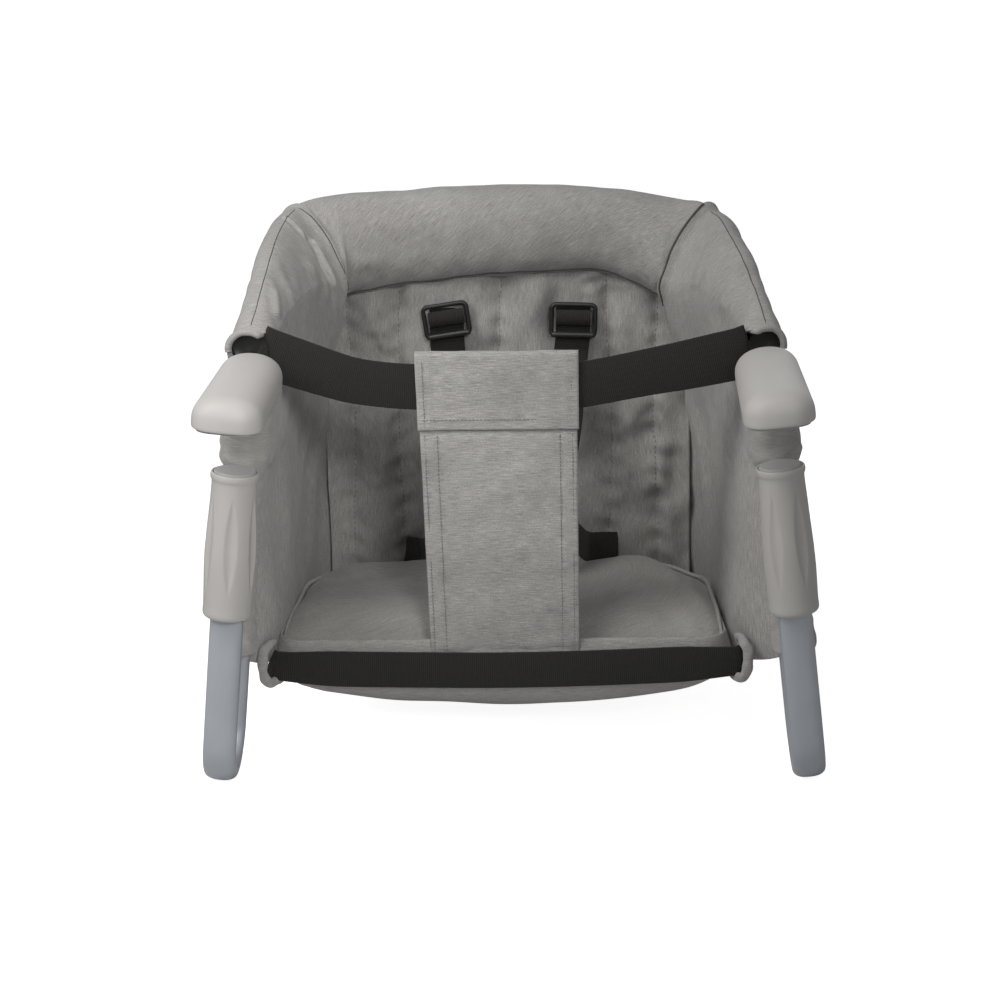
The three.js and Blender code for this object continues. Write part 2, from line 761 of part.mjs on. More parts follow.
function sideCover(side) {
  const front = sleeveRadius + clothThick / 2 + gap;
  const wall = seatHalf + slingOuter + clothThick / 2 + gap;
  const hemLevel = seatLevel - slingRim - clothThick;
  const rearWall = wall - seatHalf + seatRearHalf;
  const footLine = new THREE.CatmullRomCurve3([
    armPoint(side, 0, front, sleeveTop - sleeveLength),
    at(side * (wall + seatEdge / 2) + coverShift / 2, frameBend + seatEdge, hemLevel),
    at(side * wall + coverShift, (frameMiddleDepth + rollStart) / 2, hemLevel),
    at(side * rearWall + coverShift, rollStart, hemLevel),
  ]);
  const straight = at(side, 0, 0);
  const mouth = armPoint(side, 0, coverMouth, coverMouthLevel);
  const rings = [coverSection(
    mouth, straight, coverRunShares[0].slice(1),
    armPoint(side, 0, (coverMouth + front) / 2, -coverDrop), armPoint(side, 0, front, -coverWaist),
    footLine.getPoint(0),
  )];
  const place = (middle, outward, shares, foot) => {
    const under = at(middle.x, middle.y, middle.z - coverDrop);
    const waist = middle.clone().lerp(foot, waistPullShare);
    rings.push(coverSection(middle, outward, shares, under, waist.setZ(-coverWaist), foot));
  };
  coverRunShares.forEach(([runShare, ...shares]) => {
    const depth = socketSetback + (rollStart - socketSetback) * runShare;
    place(pathStation(side, depth), straight, shares, footLine.getPoint(runShare));
  });
  const cornerX = frameRearHalf - frameCorner;
  coverTurnShares.forEach(([turnShare, ...shares]) => {
    const backShare = shares.pop();
    const angle = quarterTurn * turnShare;
    const outward = at(side * Math.cos(angle), Math.sin(angle), 0);
    const middle = at(side * cornerX + coverShift, frameRearDepth - frameCorner, frameLevel.rear)
      .addScaledVector(outward, frameCorner);
    const foot = at(
      side * (rearWall - seatCorner * (1 - Math.cos(quarterTurn * backShare))) + coverShift,
      rollStart + (seatRear + slingOuter - rollStart) * Math.sin(quarterTurn * backShare), hemLevel,
    );
    place(middle, outward, shares, foot);
  });
  const tunnelRadius = coverRadius - clothThick;
  const tunnelEnds = [
    armPoint(side, 0, coverMouth - overrun, coverMouthLevel),
    pathStation(side, coverMouth + coverRadius),
  ];
  const tunnel = swept(withDirections(tunnelEnds), roundOutline(tunnelRadius, tunnelRadius, 12), X);
  const back = block(
    at(-backHalf - gap + coverShift, rollStart, hemLevel - overrun),
    at(backHalf + gap + coverShift, rollStart + frameRearDepth, backTop + gap),
  );
  const strapSides = [2 * coverRadius, frameRadius].map((inward) => side * (armHalf - inward));
  const strapRoom = frontStrapHigh / 2 + webThick;
  const strapSlit = block(
    at(Math.min(...strapSides), 0, frontStrapEnd - strapRoom),
    at(Math.max(...strapSides), socketSetback + frameRadius, frontStrapEnd + strapRoom),
  );
  const housing = housingBody(gap).rotateY(-side * armLeanAngle).translate(side * armHalf, 0, 0);
  const tube = frameRun(frameRadius + gap);
  return cut(loft(rings), tunnel, strapSlit, housing, back, mitreBlock(side, -1), tube);
}

// Seat outlines: a rounded trapezium, wider in front
function seatOutline(inset) {
  const rear = seatCorner - inset;
  const front = Math.max(seatFrontCorner - inset, gap);
  const rearX = seatRearHalf - seatCorner;
  const frontX = seatHalf - inset - front;
  const rearY = seatRear - seatCorner;
  const frontY = seatFront + inset + front;
  return [
    ...arc(rearX, rearY, rear, 0, quarterTurn, 5),
    ...arc(-rearX, rearY, rear, quarterTurn, Math.PI, 5),
    ...arc(-frontX, frontY, front, Math.PI, 3 * quarterTurn, 3),
    ...arc(frontX, frontY, front, 3 * quarterTurn, fullTurn, 3),
  ].map(([x, y]) => [x + coverShift, y]);
}

const padBottom = seatLevel - seatPadThick;
const boardTop = padBottom - gap;
const boardBottom = boardTop - boardThick;

function seatPad() {
  const crownShares = [[0, -0.5], [0.25, -0.1], [1, 0.25], [2.4, 0.6], [4.4, 0.9], [5.5, 1]];
  const dome = crownShares.map(([insetShare, riseShare]) => [
    seatEdge * insetShare,
    seatLevel + (riseShare < 0 ? seatEdge : seatCrown) * riseShare,
  ]);
  return stack(seatOutline, [[seatEdge, padBottom], [seatEdge / 4, padBottom + seatEdge / 3],
    [0, padBottom + seatEdge], ...dome]);
}

function seatBoard() {
  return stack((inset) => seatOutline(inset + boardInset), [[0, boardBottom], [0, boardTop]]);
}

// Seat sling: the fabric bowl that carries the board
function seatSling() {
  const rim = seatLevel - slingRim;
  const bottom = boardBottom - slingDrop;
  const bellyShares = [[0, 0.35], [0.15, 0.75], [0.5, 0.94], [1, 1]];
  const outer = bellyShares.map(([insetShare, dropShare]) => [
    seatCorner * insetShare - slingOutset - clothThick,
    boardTop + (bottom - boardTop) * dropShare,
  ]);
  const inner = outer.map(([inset, height]) => [inset + clothThick, height + clothThick]).reverse();
  return stack(seatOutline, [...inner, [-slingOutset, rim], [-slingOutset - clothThick, rim], ...outer]);
}

// Quilted back: soft channels between upright lines of stitching, curled forward at its edges
const puffShares = [0, 0.12, 0.35, 0.65, 0.88];

// How far the back comes forward to follow the rounded rear corners of the seat
function backCurl(x) {
  const past = Math.max(0, Math.abs(x) - (seatRearHalf - seatCorner));
  return seatCorner - Math.sqrt(seatCorner ** 2 - past ** 2);
}

function backPanel() {
  const bottom = seatLevel - slingRim + gap;
  const inner = backHalf * quiltInnerShare;
  const outer = backHalf * quiltOuterShare;
  const edges = [-backHalf, -outer, -inner, 0, inner, outer, backHalf];
  const stations = [];
  for (let i = 0; i + 1 < edges.length; i += 1) {
    puffShares.forEach((share) => {
      const x = edges[i] + (edges[i + 1] - edges[i]) * share;
      stations.push([x, quiltDepth * (1 - Math.sin(Math.PI * share) ** (1 / 2))]);
    });
  }
  stations.push([backHalf, quiltDepth]);
  return loft(stations.map(([across, dip]) => {
    const x = across + coverShift;
    const face = seatRear + gap - backCurl(across);
    const rear = face + backThick;
    return [
      at(x, face + dip, bottom + quiltDepth), at(x, face + dip, (backTop + bottom) / 2),
      at(x, face + dip, backTop - quiltDepth), at(x, face + backThick / 2, backTop),
      at(x, rear, backTop - quiltDepth), at(x, rear, bottom + quiltDepth),
      at(x, face + backThick / 2, bottom),
    ];
  }));
}

// Front strap: webbing from tube to tube, sagging through the panel's loop
function frontStrap() {
  const points = [];
  for (const side of [-1, 1]) {
    const end = armPoint(side, -side * (frameRadius + 3 * gap + webThick / 2), socketSetback, frontStrapEnd);
    const run = [
      at(end.x, end.y + frameRadius / 3, end.z),
      at(end.x, end.y - rivetRadius - webThick, end.z),
      at(end.x - side * webThick, frontStrapDepth + 2 * webThick, end.z),
      at(end.x - side * 3 * webThick, frontStrapDepth, end.z - webThick / 2),
      at(side * (panelHalf + loopWide) + coverShift, frontStrapDepth, end.z - frontStrapSag + webThick),
    ];
    points.push(...(side < 0 ? run : run.reverse()));
    if (side < 0) {
      points.push(at(coverShift, frontStrapDepth, end.z - frontStrapSag));
    }
  }
  return ribbon(points, frontStrapHigh, webThick, Z);
}

function lowerStrap() {
  const points = [-1, 0, 1].map((share) => at(
    lowerStrapHalf * share + lowerStrapShift,
    frontStrapDepth,
    lowerStrapLevel + webThick * Math.abs(share),
  ));
  return ribbon(points, lowerStrapHigh, webThick, Z);
}

// Fabric loop sewn to the side panel, round each end of the lower strap
function strapLoop(side) {
  const end = side * lowerStrapHalf + lowerStrapShift;
  const centre = lowerStrapLevel + webThick;
  const high = lowerStrapHigh / 2;
  const shell = block(
    at(end - loopWide / 2, frontStrapDepth - webThick / 2 - gap - panelThick, centre - high - panelThick),
    at(end + loopWide / 2, seatFront, centre + high + panelThick),
  );
  const slot = block(
    at(side < 0 ? end - gap : end - loopWide, frontStrapDepth - webThick / 2 - gap, centre - high - gap),
    at(side < 0 ? end + loopWide : end + gap, frontStrapDepth + webThick / 2 + gap, centre + high + gap),
  );
  return cut(shell, slot);
}

// Panel between the legs: folded over the front strap and sewn down in front
function legPanel() {
  const inner = webThick / 2 + gap;
  const front = frontStrapDepth - inner - panelThick;
  const back = frontStrapDepth + inner;
  const strapMiddle = frontStrapEnd - frontStrapSag;
  const slotTop = strapMiddle + frontStrapHigh / 2 + 2 * webThick;
  const top = slotTop + panelThick;
  const head = block(at(-panelHalf, front, -flapDrop), at(panelHalf, back + panelThick, top));
  const slot = block(
    at(-panelHalf - overrun, front + panelThick, strapMiddle - frontStrapHigh / 2 - webThick),
    at(panelHalf + overrun, back, slotTop),
  );
  const rings = [[panelHalf, -flapDrop + overrun], [panelHalf - panelTaper, panelBottom]].map(([half, z]) => [
    at(-half, back, z), at(half, back, z), at(half, back + panelThick, z), at(-half, back + panelThick, z),
  ]);
  return joined(cut(head, slot), loft(rings)).translate(coverShift, 0, 0);
}

// Rivet head that holds the front strap to the frame tube
function strapRivet(side) {
  const seat = armPoint(side, -side * (frameRadius + 4 * gap + webThick), socketSetback, frontStrapEnd);
  const head = [[rivetRadius, 0], [rivetRadius, rivetLength / 2], [rivetRadius / 2, rivetLength]];
  return turned([[0, 0], ...head, [0, rivetLength]], 12)
    .rotateY(-side * quarterTurn)
    .translate(seat.x, seat.y, seat.z);
}

// Harness
const harnessPlane = seatRear - harnessThick / 2;
const tonguePlane = buckleDepth + tongueHalfThick + gap + harnessThick / 2;

function shoulderStrap(side) {
  const x = side * harnessHalfSpan + harnessShift;
  const end = side * (buckleHalfWide + gap + harnessWide / 2) + coverShift;
  const low = buckleLevel + tongueBar;
  const middleDepth = (harnessPlane + tonguePlane) / 2 + harnessWide / 3;
  const middleLevel = (harnessBreak + buckleLevel) / 2 + harnessWide / 2;
  return ribbon([
    at(x, harnessPlane, harnessTop),
    at(x, harnessPlane, harnessBreak),
    at((x + end) / 2, middleDepth, middleLevel),
    at(end, tonguePlane, low + harnessWide / 2),
    at(end, tonguePlane, low),
  ], harnessWide, harnessThick, X);
}

// Ladder lock: a flat frame with a round bar raised across its middle
function strapAdjuster(side) {
  const x = side * harnessHalfSpan + harnessShift;
  const half = adjusterWide / 2;
  const high = adjusterHigh / 2;
  const frame = new THREE.Shape();
  frame.moveTo(adjusterCorner - half, -high);
  frame.lineTo(half - adjusterCorner, -high);
  frame.quadraticCurveTo(half, -high, half, adjusterCorner - high);
  frame.lineTo(half, high - adjusterCorner);
  frame.quadraticCurveTo(half, high, half - adjusterCorner, high);
  frame.lineTo(adjusterCorner - half, high);
  frame.quadraticCurveTo(-half, high, -half, high - adjusterCorner);
  frame.lineTo(-half, adjusterCorner - high);
  frame.quadraticCurveTo(-half, -high, adjusterCorner - half, -high);
  for (const end of [-1, 1]) {
    const near = (end * adjusterBar) / 2;
    const far = end * (high - adjusterBar);
    const reach = half - adjusterSide;
    const slot = new THREE.Path();
    slot.moveTo(-reach, near);
    slot.lineTo(reach, near);
    slot.lineTo(reach, far);
    slot.lineTo(-reach, far);
    slot.lineTo(-reach, near);
    frame.holes.push(slot);
  }
  const settings = { depth: adjusterThick, bevelEnabled: false, curveSegments: 4 };
  const plate = new THREE.ExtrudeGeometry(frame, settings);
  const reach = half - adjusterSide / 2;
  const bar = rod(adjusterBar / 2, -reach, reach, 12).rotateY(quarterTurn).translate(0, 0, adjusterThick);
  return joined(plate, bar).rotateX(quarterTurn)
    .translate(x, harnessPlane - harnessThick / 2 - gap, adjusterLevel);
}

function waistStrap(side) {
  const outer = side * waistHalfSpan + coverShift;
  const end = side * (buckleHalfWide + tongueReach / 2) + coverShift;
  const low = buckleLevel - waistWide / 2 + tongueBar - gap;
  return ribbon([
    at(outer, harnessPlane, waistLevel),
    at(outer - side * waistWide / 2, harnessPlane - waistWide / 4, waistLevel),
    at(end + side * waistWide, tonguePlane + waistWide / 4, low),
    at(end + (side * waistWide) / 2, tonguePlane, low),
    at(end - (side * waistWide) / 4, tonguePlane, low),
  ], waistWide, harnessThick, Z);
}

function crotchStrap() {
  const levels = [crotchBottom, crotchBottom + crotchLength];
  const ends = levels.map((height) => at(coverShift, buckleDepth, height));
  return ribbon(ends, harnessWide, harnessThick, X);
}

function buckleOutline(inset) {
  const corner = buckleRounding * 2;
  const x = buckleHalfWide - corner - inset;
  const z = buckleHalfHigh - corner - inset;
  return [
    ...arc(x, z, corner, 0, quarterTurn, 3), ...arc(-x, z, corner, quarterTurn, Math.PI, 3),
    ...arc(-x, -z, corner, Math.PI, 3 * quarterTurn, 3), ...arc(x, -z, corner, 3 * quarterTurn, fullTurn, 3),
  ];
}

function toBuckle(geometry) {
  return geometry.rotateX(quarterTurn).translate(coverShift, buckleDepth, buckleLevel);
}

function buckleBody() {
  const shell = stack(buckleOutline, [
    [buckleRounding, -buckleHalfThick], [0, buckleRounding - buckleHalfThick],
    [0, buckleHalfThick - buckleRounding], [buckleRounding, buckleHalfThick],
  ]);
  const well = rod(buttonRadius + gap, tongueHalfThick + gap, buckleHalfThick + overrun);
  const mouths = [-1, 1].map((side) => {
    const inner = side * (buckleHalfWide - tongueInside - gap);
    const outer = side * (buckleHalfWide + overrun);
    return block(
      at(Math.min(inner, outer), -tongueNeckHalf - gap, -tongueHalfThick - gap),
      at(Math.max(inner, outer), tongueNeckHalf + gap, tongueHalfThick + gap),
    );
  });
  return toBuckle(cut(shell, well, ...mouths));
}

function buckleButton() {
  const face = buckleHalfThick + buttonProud;
  const back = tongueHalfThick + 2 * gap + buttonTravel;
  const rim = [[buttonRadius, back], [buttonRadius, face - gap], [buttonRadius - gap * 2, face]];
  return toBuckle(turned([[0, back], ...rim, [0, face - gap]]));
}

function buckleTongue(side) {
  const neck = block(
    at(buckleHalfWide - tongueInside, -tongueNeckHalf, -tongueHalfThick),
    at(buckleHalfWide + gap + tongueBar, tongueNeckHalf, tongueHalfThick),
  );
  const frame = block(
    at(buckleHalfWide + gap, -tongueHalfHigh, -tongueHalfThick),
    at(buckleHalfWide + tongueReach, tongueHalfHigh, tongueHalfThick),
  );
  const slot = block(
    at(buckleHalfWide + gap + 2 * tongueBar, tongueBar - tongueHalfHigh, -tongueHalfThick - overrun),
    at(buckleHalfWide + tongueReach - tongueBar, tongueHalfHigh - tongueBar, tongueHalfThick + overrun),
  );
  const tongue = cut(joined(frame, neck), slot);
  return toBuckle(side < 0 ? tongue.rotateZ(Math.PI) : tongue);
}

// The assembly
const chair = new THREE.Group();
chair.name = 'hook_on_table_chair';

for (const [name, side] of Object.entries(sides)) {
  const post = new THREE.Group();
  post.position.x = side * armHalf;
  post.rotation.y = -side * armLeanAngle;
  chair.add(post);
  add(post, `${name}_arm_cap`, armCap(), finish.cap);
  add(post, `${name}_arm_sole`, sole(), finish.rubber);
  add(post, `${name}_arm_beam`, armBeam(), finish.alloy);
  add(post, `${name}_pivot_pin`, pivotPin(), finish.steel);
  add(post, `${name}_thrust_washer`, thrustWasher(), finish.black);
  add(post, `${name}_clamp_tube`, clampTube(), finish.alloy);
  add(post, `${name}_hinge_housing`, hingeHousing(), finish.black);
  add(post, `${name}_post_sleeve`, postSleeve(), finish.cloth);

  const frontLeg = new THREE.Group();
  frontLeg.position.y = -legSpacing;
  post.add(frontLeg);
  add(frontLeg, `${name}_thread_insert`, threadInsert(), finish.black);
  add(frontLeg, `${name}_twist_grip`, twistGrip(gripTurnAngle[name]), finish.grip);
  add(frontLeg, `${name}_clamp_screw`, clampScrew(), finish.steel);
  add(frontLeg, `${name}_clamp_pad`, clampPad(), finish.rubber);

  add(chair, `${name}_side_panel`, sideCover(side), finish.cloth);
  add(chair, `${name}_strap_rivet`, strapRivet(side), finish.steel);
  add(chair, `${name}_strap_loop`, strapLoop(side), finish.cloth);
  add(chair, `${name}_shoulder_strap`, shoulderStrap(side), finish.webbing);
  add(chair, `${name}_strap_adjuster`, strapAdjuster(side), finish.black);
  add(chair, `${name}_waist_strap`, waistStrap(side), finish.webbing);
  add(chair, `${name}_buckle_tongue`, buckleTongue(side), finish.black);
}

add(chair, 'back_frame_tube', frameRun(frameRadius), finish.alloy);
add(chair, 'back_roll', backRoll(), finish.cloth);
add(chair, 'back_panel', backPanel(), finish.cloth);
add(chair, 'seat_pad', seatPad(), finish.cloth);
add(chair, 'seat_board', seatBoard(), finish.board);
add(chair, 'seat_sling', seatSling(), finish.cloth);
add(chair, 'front_strap', frontStrap(), finish.webbing);
add(chair, 'lower_strap', lowerStrap(), finish.webbing);
add(chair, 'leg_panel', legPanel(), finish.cloth);
add(chair, 'crotch_strap', crotchStrap(), finish.webbing);
add(chair, 'buckle_body', buckleBody(), finish.black);
add(chair, 'buckle_button', buckleButton(), finish.grip);

export default chair;
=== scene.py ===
# A hook-on table chair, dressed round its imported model: two folding clamp arms, a back tube
# hidden in a padded fabric seat, black webbing and a harness.
# Metres, +Z up, -Y towards the table, origin midway between the two arm pivots.
import itertools
import json
import math

import bpy
import numpy as np
from mathutils import Matrix, Vector


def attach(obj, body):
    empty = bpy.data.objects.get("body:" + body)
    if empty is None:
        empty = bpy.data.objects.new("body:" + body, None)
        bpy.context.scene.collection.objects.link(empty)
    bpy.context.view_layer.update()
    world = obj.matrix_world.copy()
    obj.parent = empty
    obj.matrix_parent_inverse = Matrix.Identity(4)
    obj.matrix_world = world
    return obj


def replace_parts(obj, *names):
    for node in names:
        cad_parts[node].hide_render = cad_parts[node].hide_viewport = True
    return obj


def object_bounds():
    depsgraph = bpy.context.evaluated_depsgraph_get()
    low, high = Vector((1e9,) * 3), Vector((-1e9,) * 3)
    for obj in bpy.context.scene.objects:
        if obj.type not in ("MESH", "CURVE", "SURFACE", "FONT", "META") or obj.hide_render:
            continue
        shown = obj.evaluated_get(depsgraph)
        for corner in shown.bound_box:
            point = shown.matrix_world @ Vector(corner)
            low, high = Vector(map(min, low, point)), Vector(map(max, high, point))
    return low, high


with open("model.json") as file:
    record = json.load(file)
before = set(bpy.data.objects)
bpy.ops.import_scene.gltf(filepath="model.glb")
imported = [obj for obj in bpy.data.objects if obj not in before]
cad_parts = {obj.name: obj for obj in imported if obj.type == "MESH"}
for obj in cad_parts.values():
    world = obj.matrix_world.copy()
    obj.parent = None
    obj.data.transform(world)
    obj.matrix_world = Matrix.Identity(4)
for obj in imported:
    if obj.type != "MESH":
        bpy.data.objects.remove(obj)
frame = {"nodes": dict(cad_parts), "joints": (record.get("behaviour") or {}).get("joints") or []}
cad_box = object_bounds()
scene = bpy.context.scene
scene.view_settings.view_transform = "Standard"
MM = 0.001
SIDES = {"left": -1, "right": 1}


# The viewpoint
# The picture looks a little down into the open front of the seat, from the table's side,
# through a long lens that hardly converges.
EYE = (60 * MM, -1591 * MM, 382 * MM)
LENS, FILM = 90, 36
NEAREST, FARTHEST = 0.05, 100
LOOK_DOWN, LOOK_ASIDE, TILT = (math.radians(a) for a in (16.08, -2.4, -1.23))

level_ahead = Vector((math.sin(LOOK_ASIDE), math.cos(LOOK_ASIDE), 0))
level_right = Vector((math.cos(LOOK_ASIDE), -math.sin(LOOK_ASIDE), 0))
ahead = level_ahead * math.cos(LOOK_DOWN) - Vector((0, 0, math.sin(LOOK_DOWN)))
level_up = level_right.cross(ahead)
right = level_right * math.cos(TILT) + level_up * math.sin(TILT)
up = level_up * math.cos(TILT) - level_right * math.sin(TILT)
camera = bpy.data.objects.new("camera", bpy.data.cameras.new("camera"))
camera.data.lens, camera.data.sensor_width = LENS, FILM
camera.data.clip_start, camera.data.clip_end = NEAREST, FARTHEST
camera.matrix_world = Matrix.Translation(EYE) @ Matrix((right, up, -ahead)).transposed().to_4x4()
scene.collection.objects.link(camera)
scene.camera = camera


# The studio
# A white room: soft lamps above and on the left, a narrow one beside the viewer aimed at the
# left arm, and a pale floor under the chair that keeps a faint shadow.
class Reading:
    """A shader socket that can be reckoned with in plain sums."""

    def __init__(self, finish, socket):
        self.finish, self.socket = finish, socket

    def sum(self, operation, first, second=0.0):
        return self.finish.node("ShaderNodeMath", {"operation": operation}, {0: first, 1: second})

    def __add__(self, other):
        return self.sum("ADD", self, other)

    def __radd__(self, other):
        return self.sum("ADD", other, self)

    def __sub__(self, other):
        return self.sum("SUBTRACT", self, other)

    def __rsub__(self, other):
        return self.sum("SUBTRACT", other, self)

    def __mul__(self, other):
        return self.sum("MULTIPLY", self, other)

    def __rmul__(self, other):
        return self.sum("MULTIPLY", other, self)

    def swing(self):
        return self.sum("SINE", self)


class Finish:
    """A procedural finish built node by node on a material, or on the world."""

    def __init__(self, owner):
        self.owner = owner
        owner.use_nodes = True
        self.tree = owner.node_tree
        self.shader = self.tree.nodes.get("Principled BSDF")

    def node(self, kind, settings=None, inputs=None, output=0):
        made = self.tree.nodes.new(kind)
        for name, value in (settings or {}).items():
            if name == "stops":
                ramp = made.color_ramp.elements
                while len(ramp) < len(value):
                    ramp.new(1)
                for stop, (place, shade) in zip(ramp, value):
                    stop.position, stop.color = place, shade
            else:
                setattr(made, name, value)
        for key, value in (inputs or {}).items():
            self.put(made.inputs[key], value)
        return Reading(self, made.outputs[output])

    def put(self, socket, value):
        if isinstance(value, Reading):
            self.tree.links.new(value.socket, socket)
        else:
            socket.default_value = value

    def shade(self, **values):
        for name, value in values.items():
            self.put(self.shader.inputs[name.replace("_", " ")], value)
        return self

    def bump(self, height, strength, distance):
        return self.node("ShaderNodeBump", None,
                         {"Height": height, "Strength": strength, "Distance": distance})

    def blend(self, share, first, second):
        return self.node("ShaderNodeMix", {"data_type": "RGBA"}, {0: share, 6: first, 7: second}, 2)

    def surface(self, value):
        self.put(self.tree.nodes[self.end].inputs["Surface"], value)

    @property
    def end(self):
        return "World Output" if isinstance(self.owner, bpy.types.World) else "Material Output"


def grey(value, warmth=0.0):
    """A colour as an artist names it, 0 to 255, for the shader; warmth moves it towards brown."""
    def linear(c):
        share = c / 255
        return share / 12.92 if share <= 0.04045 else ((share + 0.055) / 1.055) ** 2.4
    return (linear(value + warmth), linear(value), linear(value - warmth), 1.0)


WHITE = (1, 1, 1, 1)
AMBIENT, SEEN_WHITE = 0.17, 1.0
room = Finish(bpy.data.worlds.new("white room"))
scene.world = room.owner
path = room.node("ShaderNodeLightPath").socket.node
seen = (Reading(room, path.outputs["Is Camera Ray"]) + Reading(room, path.outputs["Is Glossy Ray"])
        + Reading(room, path.outputs["Is Transmission Ray"]))
dim = room.node("ShaderNodeBackground", None, {"Color": WHITE, "Strength": AMBIENT})
bright = room.node("ShaderNodeBackground", None, {"Color": WHITE, "Strength": SEEN_WHITE})
room.surface(room.node("ShaderNodeMixShader", None, {0: seen, 1: dim, 2: bright}))

FLOOR_HALF, FLOOR_GAP = 20.0, 0.5 * MM
FLOOR_TONE, FLOOR_GLOW = 228, 0.9
floor_mesh = bpy.data.meshes.new("floor")
floor_mesh.from_pydata([(x * FLOOR_HALF, y * FLOOR_HALF, cad_box[0].z - FLOOR_GAP)
                        for x, y in ((-1, -1), (1, -1), (1, 1), (-1, 1))], [], [(0, 1, 2, 3)])
floor = bpy.data.objects.new("floor", floor_mesh)
scene.collection.objects.link(floor)
pale = Finish(bpy.data.materials.new("pale floor"))
pale.tree.nodes.remove(pale.shader)
camera_ray = Reading(pale, pale.node("ShaderNodeLightPath").socket.node.outputs["Is Camera Ray"])
glow = pale.node("ShaderNodeEmission", None, {"Color": WHITE, "Strength": camera_ray * FLOOR_GLOW})
matt = pale.node("ShaderNodeBsdfDiffuse", None, {"Color": grey(FLOOR_TONE)})
pale.surface(pale.node("ShaderNodeAddShader", None, {0: matt, 1: glow}))
floor_mesh.materials.append(pale.owner)

SEAT_MIDDLE, LEFT_ARM = (-0.03, 0.06, -0.05), (-0.28, 0.06, -0.02)
LAMPS = {
    "above": {"kind": "AREA", "at": (-0.55, -0.55, 1.25), "aim": SEAT_MIDDLE, "size": 0.7, "watts": 7},
    "left": {"kind": "AREA", "at": (-0.95, -0.55, 0.75), "aim": SEAT_MIDDLE, "size": 0.5, "watts": 5},
    "front": {"kind": "SPOT", "at": (0.33, -1.48, 0.75), "aim": LEFT_ARM, "size": 0.25, "watts": 64},
}
SPOT_ANGLE, SPOT_BLEND = 27, 1.0
for name, lamp in LAMPS.items():
    light = bpy.data.lights.new(name, lamp["kind"])
    light.energy = lamp["watts"]
    if lamp["kind"] == "AREA":
        light.shape, light.size = "DISK", lamp["size"]
    else:
        light.shadow_soft_size = lamp["size"]
        light.spot_size, light.spot_blend = math.radians(SPOT_ANGLE), SPOT_BLEND
    holder = bpy.data.objects.new(name, light)
    holder.location = lamp["at"]
    way = Vector(lamp["aim"]) - Vector(lamp["at"])
    holder.rotation_euler = way.to_track_quat("-Z", "Y").to_euler()
    scene.collection.objects.link(holder)


# The back tube, hinge housings and other hard pieces kept from the model
# Drawn alloy tube, black moulded nylon and zinc-plated steel, most of it inside the fabric;
# the moulded edges are broken with a small bevel.
def dress(piece, finish):
    piece.data.materials.clear()
    piece.data.materials.append(finish.owner)
    return piece


def coordinates(finish):
    return finish.node("ShaderNodeTexCoord", None, None, "Object")


def noise_at(finish, place, size, detail=3, rough=0.55):
    return finish.node("ShaderNodeTexNoise", None,
                       {"Vector": place, "Scale": 1 / size, "Detail": detail, "Roughness": rough})


def stretched(finish, place, factors):
    """A place scaled by its own factor each way."""
    return finish.node("ShaderNodeVectorMath", {"operation": "MULTIPLY"}, {0: place, 1: factors})


MOTTLE, MOTTLE_SHADE, SPARK_GRAIN = 18 * MM, 3, 0.9 * MM
ROUGH_SPREAD = 0.05


def moulded(name, tone, warmth=0.0, roughness=0.5, grain=0.05 * MM):
    """Moulded plastic: an even colour with faint mottling and a fine sparked grain."""
    plastic = Finish(bpy.data.materials.new(name))
    place = coordinates(plastic)
    mottle = noise_at(plastic, place, MOTTLE)
    speck = noise_at(plastic, place, SPARK_GRAIN, 2)
    colour = plastic.blend(mottle, grey(tone - MOTTLE_SHADE, warmth), grey(tone + MOTTLE_SHADE, warmth))
    bump = plastic.bump(speck, 0.25, grain)
    return plastic.shade(Base_Color=colour, Roughness=mottle * ROUGH_SPREAD + (roughness - ROUGH_SPREAD / 2),
                         Normal=bump, Specular_IOR_Level=0.4)


SCRATCHES, SCRATCH_DEPTH, WEAR = (900, 900, 40), 0.02 * MM, 9 * MM


def drawn_metal(name, tone, roughness):
    """Drawn or turned metal: fine scratches along its length and a little wear."""
    metal_finish = Finish(bpy.data.materials.new(name))
    place = coordinates(metal_finish)
    lines = noise_at(metal_finish, stretched(metal_finish, place, SCRATCHES), 1, 2, 0.5)
    wear = noise_at(metal_finish, place, WEAR)
    colour = metal_finish.blend(wear, grey(tone - 8), grey(tone + 6))
    bump = metal_finish.bump(lines, 0.2, SCRATCH_DEPTH)
    return metal_finish.shade(Base_Color=colour, Metallic=1.0, Roughness=lines * 0.16 + (roughness - 0.08),
                              Normal=bump)


black_nylon = moulded("black nylon", 34, 0.5, 0.42, 0.03 * MM)
alloy = drawn_metal("drawn alloy", 178, 0.38)
steel = drawn_metal("zinc plated steel", 196, 0.3)
board_sheet = moulded("dark board", 60, 0, 0.7)
EDGE_BREAK, SHARPEST_KEPT = 0.4 * MM, math.radians(50)


def keep(node, finish, edge=EDGE_BREAK):
    """A CAD node that stays as it is, with smooth shading and broken edges."""
    piece = frame["nodes"][node]
    piece.data.polygons.foreach_set("use_smooth", [True] * len(piece.data.polygons))
    if edge:
        bevel = piece.modifiers.new("broken edges", "BEVEL")
        bevel.width, bevel.segments, bevel.angle_limit = edge, 2, SHARPEST_KEPT
        bevel.harden_normals = True
    return dress(piece, finish)


keep("back_frame_tube", alloy, 0)
keep("seat_board", board_sheet)
for side in SIDES:
    keep(f"{side}_hinge_housing", black_nylon)
    keep(f"{side}_arm_beam", alloy)
    keep(f"{side}_pivot_pin", steel)
    keep(f"{side}_thrust_washer", black_nylon)
    keep(f"{side}_thread_insert", black_nylon)
    keep(f"{side}_clamp_screw", steel)
    keep(f"{side}_strap_rivet", steel, 0)


